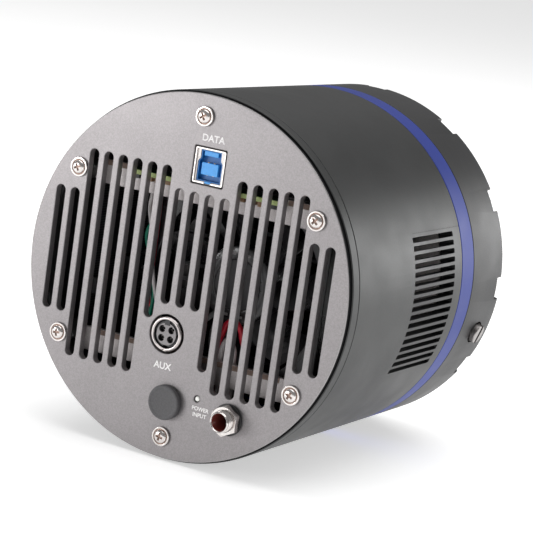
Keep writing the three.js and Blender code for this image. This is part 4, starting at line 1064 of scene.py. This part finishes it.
def make_fan_bars():
    fan_x, fan_z = middle("fan_frame")
    rise = width_of("fan_frame") / 2 - 4.5 * MM
    board_low, board_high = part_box("io_board")
    aux_x, aux_z = middle("aux_shell")
    relief = width_of("aux_shell") / 2 + CLEARANCE * MM
    for node, name, side in (("fan_bar_top", "upper_fan_bar", 1), ("fan_bar_bottom", "lower_fan_bar", -1)):
        lowest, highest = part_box(node)
        start = lowest.y
        end = start + 2 * MM
        level = fan_z + side * rise
        bar = stamped([bar_outline(level, -side)], start, end, 0.2 * MM)
        bar = carved(bar, disc(BAR_REACH * MM, start - 1 * MM, end + 1 * MM, steps=ROUND_STEPS), "INTERSECT")
        posts = [disc(2.2 * MM, end - 0.5 * MM, highest.y, (fan_x + away * 28.5 * MM, level), 24)
                 for away in (-1, 1)]
        bar = carved(bar, joined(posts), "UNION")
        room = block((board_low.x - CLEARANCE * MM, start - 1 * MM, board_low.z - CLEARANCE * MM),
                     (board_high.x + CLEARANCE * MM, highest.y + 1 * MM, board_high.z + 9 * MM))
        bar = carved(bar, room)
        bar = carved(bar, disc(relief, start - 1 * MM, end + 1 * MM, (aux_x, aux_z), SMALL_STEPS))
        piece(name, bar, BARE_ALUMINIUM, [node])
        # A brown strip along each bar's upper edge is painted shadow cast on the bar.
        top = level + BAR_WIDTH * MM / 2
        edge_x = math.sqrt(BAR_REACH ** 2 - (top / MM) ** 2) * MM - 0.5 * MM if side > 0 else 38 * MM
        inner_x = board_high.x + 0.5 * MM if side > 0 else 0
        shadow_strips = []
        for away in (-1, 1):
            near, far = sorted((away * inner_x, away * edge_x))
            shadow_strips.append(block((near, start - 0.06 * MM, top - 2 * MM),
                                (far, start + 0.1 * MM, top - 0.15 * MM), 0.02 * MM))
        piece(name + "_tape", joined(shadow_strips), BAR_SHADOW_BROWN)


def make_fan():
    lowest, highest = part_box("fan_frame")
    x, z = middle("fan_frame")
    size = highest.x - lowest.x
    bore = size / 2 - 1.6 * MM
    start, end = lowest.y, highest.y
    outlines = [box_outline(x, z, size, size, 4 * MM), round_outline(x, z, bore, MEDIUM_STEPS)]
    for side in (-1, 1):
        for level in (-1, 1):
            hole = (x + side * (size / 2 - 4.5 * MM), z + level * (size / 2 - 4.5 * MM))
            outlines.append(round_outline(*hole, 1.8 * MM, 24))
    casing = stamped(outlines, start, end, 0.4 * MM)
    struts = []
    for index in range(4):
        strut = block((12 * MM, end - 2.4 * MM, -1.5 * MM),
                      (bore + 0.8 * MM, end - 0.05 * MM, 1.5 * MM), 0.3 * MM)
        struts.append(rotated(strut, 45 + 90 * index))
    base = turned([
        (1.8 * MM, end - 2.4 * MM),
        (13 * MM, end - 2.4 * MM, 0.3 * MM),
        (13 * MM, end - 0.05 * MM, 0.3 * MM),
        (1.8 * MM, end - 0.05 * MM),
    ], SMALL_STEPS)
    struts.append(base)
    spider = struts[0]
    for strut in struts[1:]:
        spider = carved(spider, strut, "UNION")
    bmesh.ops.translate(spider, verts=spider.verts, vec=(x, 0, z))
    piece("fan_casing", carved(casing, spider, "UNION"), FAN_PLASTIC, ["fan_frame"])

    hub_start, hub_end = span("fan_rotor")
    hub_radius = 14 * MM
    hub = turned([
        (0, hub_start + 0.4 * MM),
        (9 * MM, hub_start + 0.4 * MM, 0.1 * MM),
        (9.3 * MM, hub_start, 0.1 * MM),
        (hub_radius, hub_start, 1.0 * MM),
        (hub_radius, hub_end),
        (hub_radius - 1.6 * MM, hub_end),
        (hub_radius - 1.6 * MM, hub_start + 2 * MM),
        (3.4 * MM, hub_start + 2 * MM),
        (3.4 * MM, hub_start + 4 * MM),
        (1.8 * MM, hub_start + 4 * MM),
        (1.8 * MM, hub_start + 1.2 * MM),
        (0, hub_start + 1.2 * MM),
    ], MEDIUM_STEPS, closed=False)
    tip = width_of("fan_rotor") / 2 - 0.1 * MM
    blades = [fan_blade(hub_radius - 0.8 * MM, tip, hub_start, hub_end, 360 * index / BLADE_COUNT)
              for index in range(BLADE_COUNT)]
    rotor = joined([hub] + blades)
    bmesh.ops.translate(rotor, verts=rotor.verts, vec=(x, 0, z))
    piece("fan_blades", rotor, FAN_PLASTIC, ["fan_rotor"], body="fan", sharp=40)
    label = disc(8.9 * MM, hub_start + 0.34 * MM, hub_start + 0.45 * MM, (x, z), MEDIUM_STEPS)
    piece("fan_hub_label", label, HUB_LABEL, body="fan")
    # Four light-grey pads on the hub's face are painted glints.
    glint_pads = []
    for turn in (75, 105, 255, 285):
        pad_x, pad_z = on_circle(11.3 * MM, turn)
        glint_pads.append(block((x + pad_x - 0.9 * MM, hub_start - 0.02 * MM, z + pad_z - 0.5 * MM),
                           (x + pad_x + 0.9 * MM, hub_start + 0.2 * MM, z + pad_z + 0.5 * MM), 0.05 * MM))
    piece("fan_hub_painted_glints", joined(glint_pads), INSERT_GREY, body="fan")


def fan_blade(inner, outer, start, end, turn):
    """A swept, twisted blade from the hub to the tip."""
    bm = bmesh.new()
    bmesh.ops.create_grid(bm, x_segments=8, y_segments=6, size=0.5)
    for vert in bm.verts:
        along = vert.co.x + 0.5
        across = vert.co.y
        radius = inner + (outer - inner) * along
        pitch = math.radians(50 - 16 * along)
        chord = (13 + 4 * along) * MM
        sweep = 0.25 * along * along
        camber = 1.6 * MM * (0.25 - across * across) * 4
        angle = sweep + across * chord * math.cos(pitch) / radius
        y = (start + end) / 2 + across * chord * math.sin(pitch) - camber + 0.6 * MM
        vert.co = (radius * math.cos(angle), y, radius * math.sin(angle))
    bmesh.ops.recalc_face_normals(bm, faces=bm.faces)
    bmesh.ops.solidify(bm, geom=bm.faces[:], thickness=1.1 * MM)
    return rotated(tidied(bm), turn)


WIRES = {
    "green_fan_lead": ("fan_wire_green", WIRE_GREEN, "wire_green", 0.7, [
        (-21.5, 12.9, 30.6), (-21.4, 12.9, 22), (-22.6, 12.7, 15.5), (-24.6, 12.6, 10.5), (-24.2, 12.6, 7),
        (-22, 12.6, 2.5), (-19.8, 12.6, -5), (-18.6, 12.6, -11), (-18.7, 12.6, -15), (-19.9, 13, -25),
        (-19.9, 13, -40)]),
    "white_fan_lead": ("fan_wire_white", WIRE_WHITE, "wire_white", 0.7, [
        (-24.4, 12.9, 30.6), (-24.6, 12.6, 24), (-24.9, 12.6, 19.4), (-23.1, 11.2, 15.5), (-21.2, 10.7, 11),
        (-20.6, 10.7, 4), (-18.9, 10.8, -3.5), (-17.6, 10.8, -8), (-16.1, 11.2, -13), (-14.2, 12.7, -21),
        (-13.9, 12.9, -27), (-13.2, 13.1, -31), (-13, 13.2, -40)]),
    "red_fan_lead": ("fan_wire_red", WIRE_RED, "wire_red", 0.7, [
        (-22, 14.3, 30.6), (-22, 14.7, 20), (-21.8, 14.7, 8), (-21.8, 14.6, -4), (-22, 14.5, -12),
        (-20.4, 14.4, -15.5), (-17.5, 14.4, -18), (-19, 14.4, -23), (-21.6, 14.4, -28), (-21.8, 13.8, -40)]),
    "red_supply_lead": ("jack_wire_red", WIRE_RED, "wire_red", 1.0, [
        (22, 13, -40), (22, 13, -30), (21.2, 12.9, -23), (19.8, 12.3, -19.2), (18.6, 11.6, -15),
        (16, 11.5, -13), (13.6, 11.6, -14), (12.1, 12.2, -17), (10.4, 12.9, -21), (8.8, 13.1, -28),
        (8.6, 13.1, -40)]),
    "white_supply_lead": ("jack_wire_white", WIRE_WHITE, "wire_white", 1.0, [
        (12, 13.6, -40), (11.6, 13.4, -28), (12, 13.2, -23), (14, 13.1, -20.4), (16.2, 13, -22.6),
        (17, 13.2, -28), (17.2, 13.6, -40)]),
}


def make_wires():
    for name, (node, material, slot, radius, points) in WIRES.items():
        piece(name, wire_tube(points, radius * MM), material, [node], sharp=60)


def make_sensor_chamber():
    lowest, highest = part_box("sensor_package")
    edge = 5 * MM
    package = block(lowest, highest, 0.3 * MM)
    pocket = block((lowest.x + edge, highest.y - 1.4 * MM, lowest.z + edge),
                   (highest.x - edge, highest.y + 1 * MM, highest.z - edge))
    piece("sensor_carrier", carved(package, pocket), CERAMIC, ["sensor_package"])
    die_low, die_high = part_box("image_sensor")
    die = block(die_low, die_high, 0.05 * MM)
    piece("sensor_die", die, SILICON, ["image_sensor"])
    pads = []
    face = highest.y - 1.4 * MM
    for side in (-1, 1):
        for index in range(34):
            z = die_low.z + (index + 0.5) * (die_high.z - die_low.z) / 34
            outer = sorted((side * (die_high.x + 0.5 * MM), side * (die_high.x + 1.5 * MM)))
            pads.append(block((outer[0], face - 0.01 * MM, z - 0.25 * MM),
                              (outer[1], face + 0.06 * MM, z + 0.25 * MM)))
    piece("bond_pads", joined(pads), GOLD)

    board_low, board_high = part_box("sensor_board")
    opening = box_outline(0, 0, 38 * MM, 32 * MM, 1 * MM)
    rim = box_outline(0, 0, board_high.x - board_low.x, board_high.z - board_low.z, 3 * MM)
    board = stamped([rim, opening], board_low.y, board_high.y, 0.1 * MM, 0)
    piece("chamber_board", board, BOARD_BLACK, ["sensor_board"])
    parts = []
    for side in (-1, 1):
        for index in range(7):
            z = (-27 + 9 * index) * MM
            near, far = sorted((side * 31 * MM, side * (33.2 + index % 2) * MM))
            parts.append(block((near, board_high.y, z - 1.2 * MM),
                               (far, board_high.y + 1 * MM, z + 1.2 * MM), 0.12 * MM))
    piece("chamber_parts", joined(parts), TAN_PART)

    start, end = span("chamber_window")
    radius = reach("chamber_window")
    glass = turned([(0, start), (radius, start, 0.3 * MM), (radius, end, 0.3 * MM), (0, end)],
                   ROUND_STEPS, closed=False)
    piece("coated_window", glass, GLASS, ["chamber_window"])
    start, end = span("window_retainer")
    radius = reach("window_retainer")
    bore = 34.5 * MM
    ring = turned([
        (bore, start),
        (radius, start),
        (radius, end, 0.2 * MM),
        (bore + 1.6 * MM, end, 0.2 * MM),
        (bore, end - 1.2 * MM, 0.2 * MM),
    ], ROUND_STEPS)
    slot = block((-radius - 1 * MM, end - 1.4 * MM, -1.2 * MM), (radius + 1 * MM, end + 1 * MM, 1.2 * MM))
    ring = carved(ring, slot)
    piece("threaded_retainer", ring, BLACK_ANODISE_AND_SHADE, ["window_retainer"])


def dress_kept_nodes():
    """Better finishes for the CAD nodes whose shape is kept."""
    finishes = {
        "fan_shaft": STEEL,
        "fan_stator": STEEL,
        "heat_sink": BLACK_ANODISE_AND_SHADE,
        "cooler_module": CERAMIC,
        "insulation_ring": FOAM,
        "bulkhead": BARE_ALUMINIUM,
        "cold_block": BARE_ALUMINIUM,
        "window_seal": RUBBER,
    }
    for node, material in finishes.items():
        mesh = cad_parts[node].data
        mesh.materials.clear()
        mesh.materials.append(material)


# ------------------------------------------------------------------ studio
def make_floor():
    bm = bmesh.new()
    bmesh.ops.create_grid(bm, x_segments=1, y_segments=1, size=15)
    level = CAD_BOUNDS[0][2] - 0.1 * MM
    bmesh.ops.translate(bm, verts=bm.verts, vec=(0, 0, level))
    floor = new_object("studio_floor", bm)
    paper = surface("floor_paper", (0.93, 0.93, 0.93), 0.9, grain=8, depth=0.02, mottle=0.004, drift=0.004)
    glow = paper.node_tree.nodes["Principled BSDF"]
    glow.inputs["Emission Color"].default_value = (1, 1, 1, 1)
    glow.inputs["Emission Strength"].default_value = 0.5
    floor.data.materials.append(paper)


def add_softbox(name, place, target, size, power, colour=(1, 1, 1)):
    data = bpy.data.lights.new(name, "AREA")
    data.shape = "RECTANGLE"
    data.size, data.size_y = size
    data.energy = power
    data.color = colour
    lamp = bpy.data.objects.new(name, data)
    lamp.location = place
    lamp.rotation_euler = (Vector(target) - Vector(place)).to_track_quat("-Z", "Y").to_euler()
    lamp.visible_camera = False
    bpy.context.scene.collection.objects.link(lamp)


def light_studio():
    world = bpy.data.worlds.new("studio")
    world.use_nodes = True
    sky = world.node_tree.nodes["Background"]
    sky.inputs["Color"].default_value = (1, 1, 1, 1)
    sky.inputs["Strength"].default_value = 0.27
    bpy.context.scene.world = world
    bpy.context.scene.view_settings.view_transform = "Standard"
    centre = (0, -0.07, 0)
    add_softbox("rear_left_box", (-0.86, -1.05, 0.09), centre, (0.5, 0.28), 6.5)
    add_softbox("overhead_box", (0.1, 0.15, 1.6), centre, (2.0, 2.0), 24)
    add_softbox("right_box", (0.7, 1.37, 0.05), centre, (0.8, 0.8), 10)


CAMERA_PLACE = (0.3772, -0.7783, 0.1430)
CAMERA_AIM = (-0.4673, 0.8659, -0.1785)
CAMERA_ROLL = 8.24
CAMERA_LENS = 148.1


def place_camera():
    data = bpy.data.cameras.new("camera")
    data.lens = CAMERA_LENS
    data.sensor_width = 36
    data.clip_start = 0.01
    data.clip_end = 60
    camera = bpy.data.objects.new("camera", data)
    aim = Vector(CAMERA_AIM).to_track_quat("-Z", "Y").to_matrix()
    turn = aim @ Matrix.Rotation(math.radians(CAMERA_ROLL), 3, "Z")
    camera.matrix_world = Matrix.Translation(CAMERA_PLACE) @ turn.to_4x4()
    bpy.context.scene.collection.objects.link(camera)
    bpy.context.scene.camera = camera


place_camera()
make_rear_plate()
make_rear_ring()
make_main_shell()
make_accent_ring()
make_front_housing()
make_adapter_ring()
make_rear_screws()
make_rim_screws()
make_port_screw()
make_usb_socket()
make_aux_socket()
make_power_jack()
make_led_and_plug()
make_labels()
make_boards()
make_fan_bars()
make_fan()
make_wires()
make_sensor_chamber()
dress_kept_nodes()
make_floor()
light_studio()
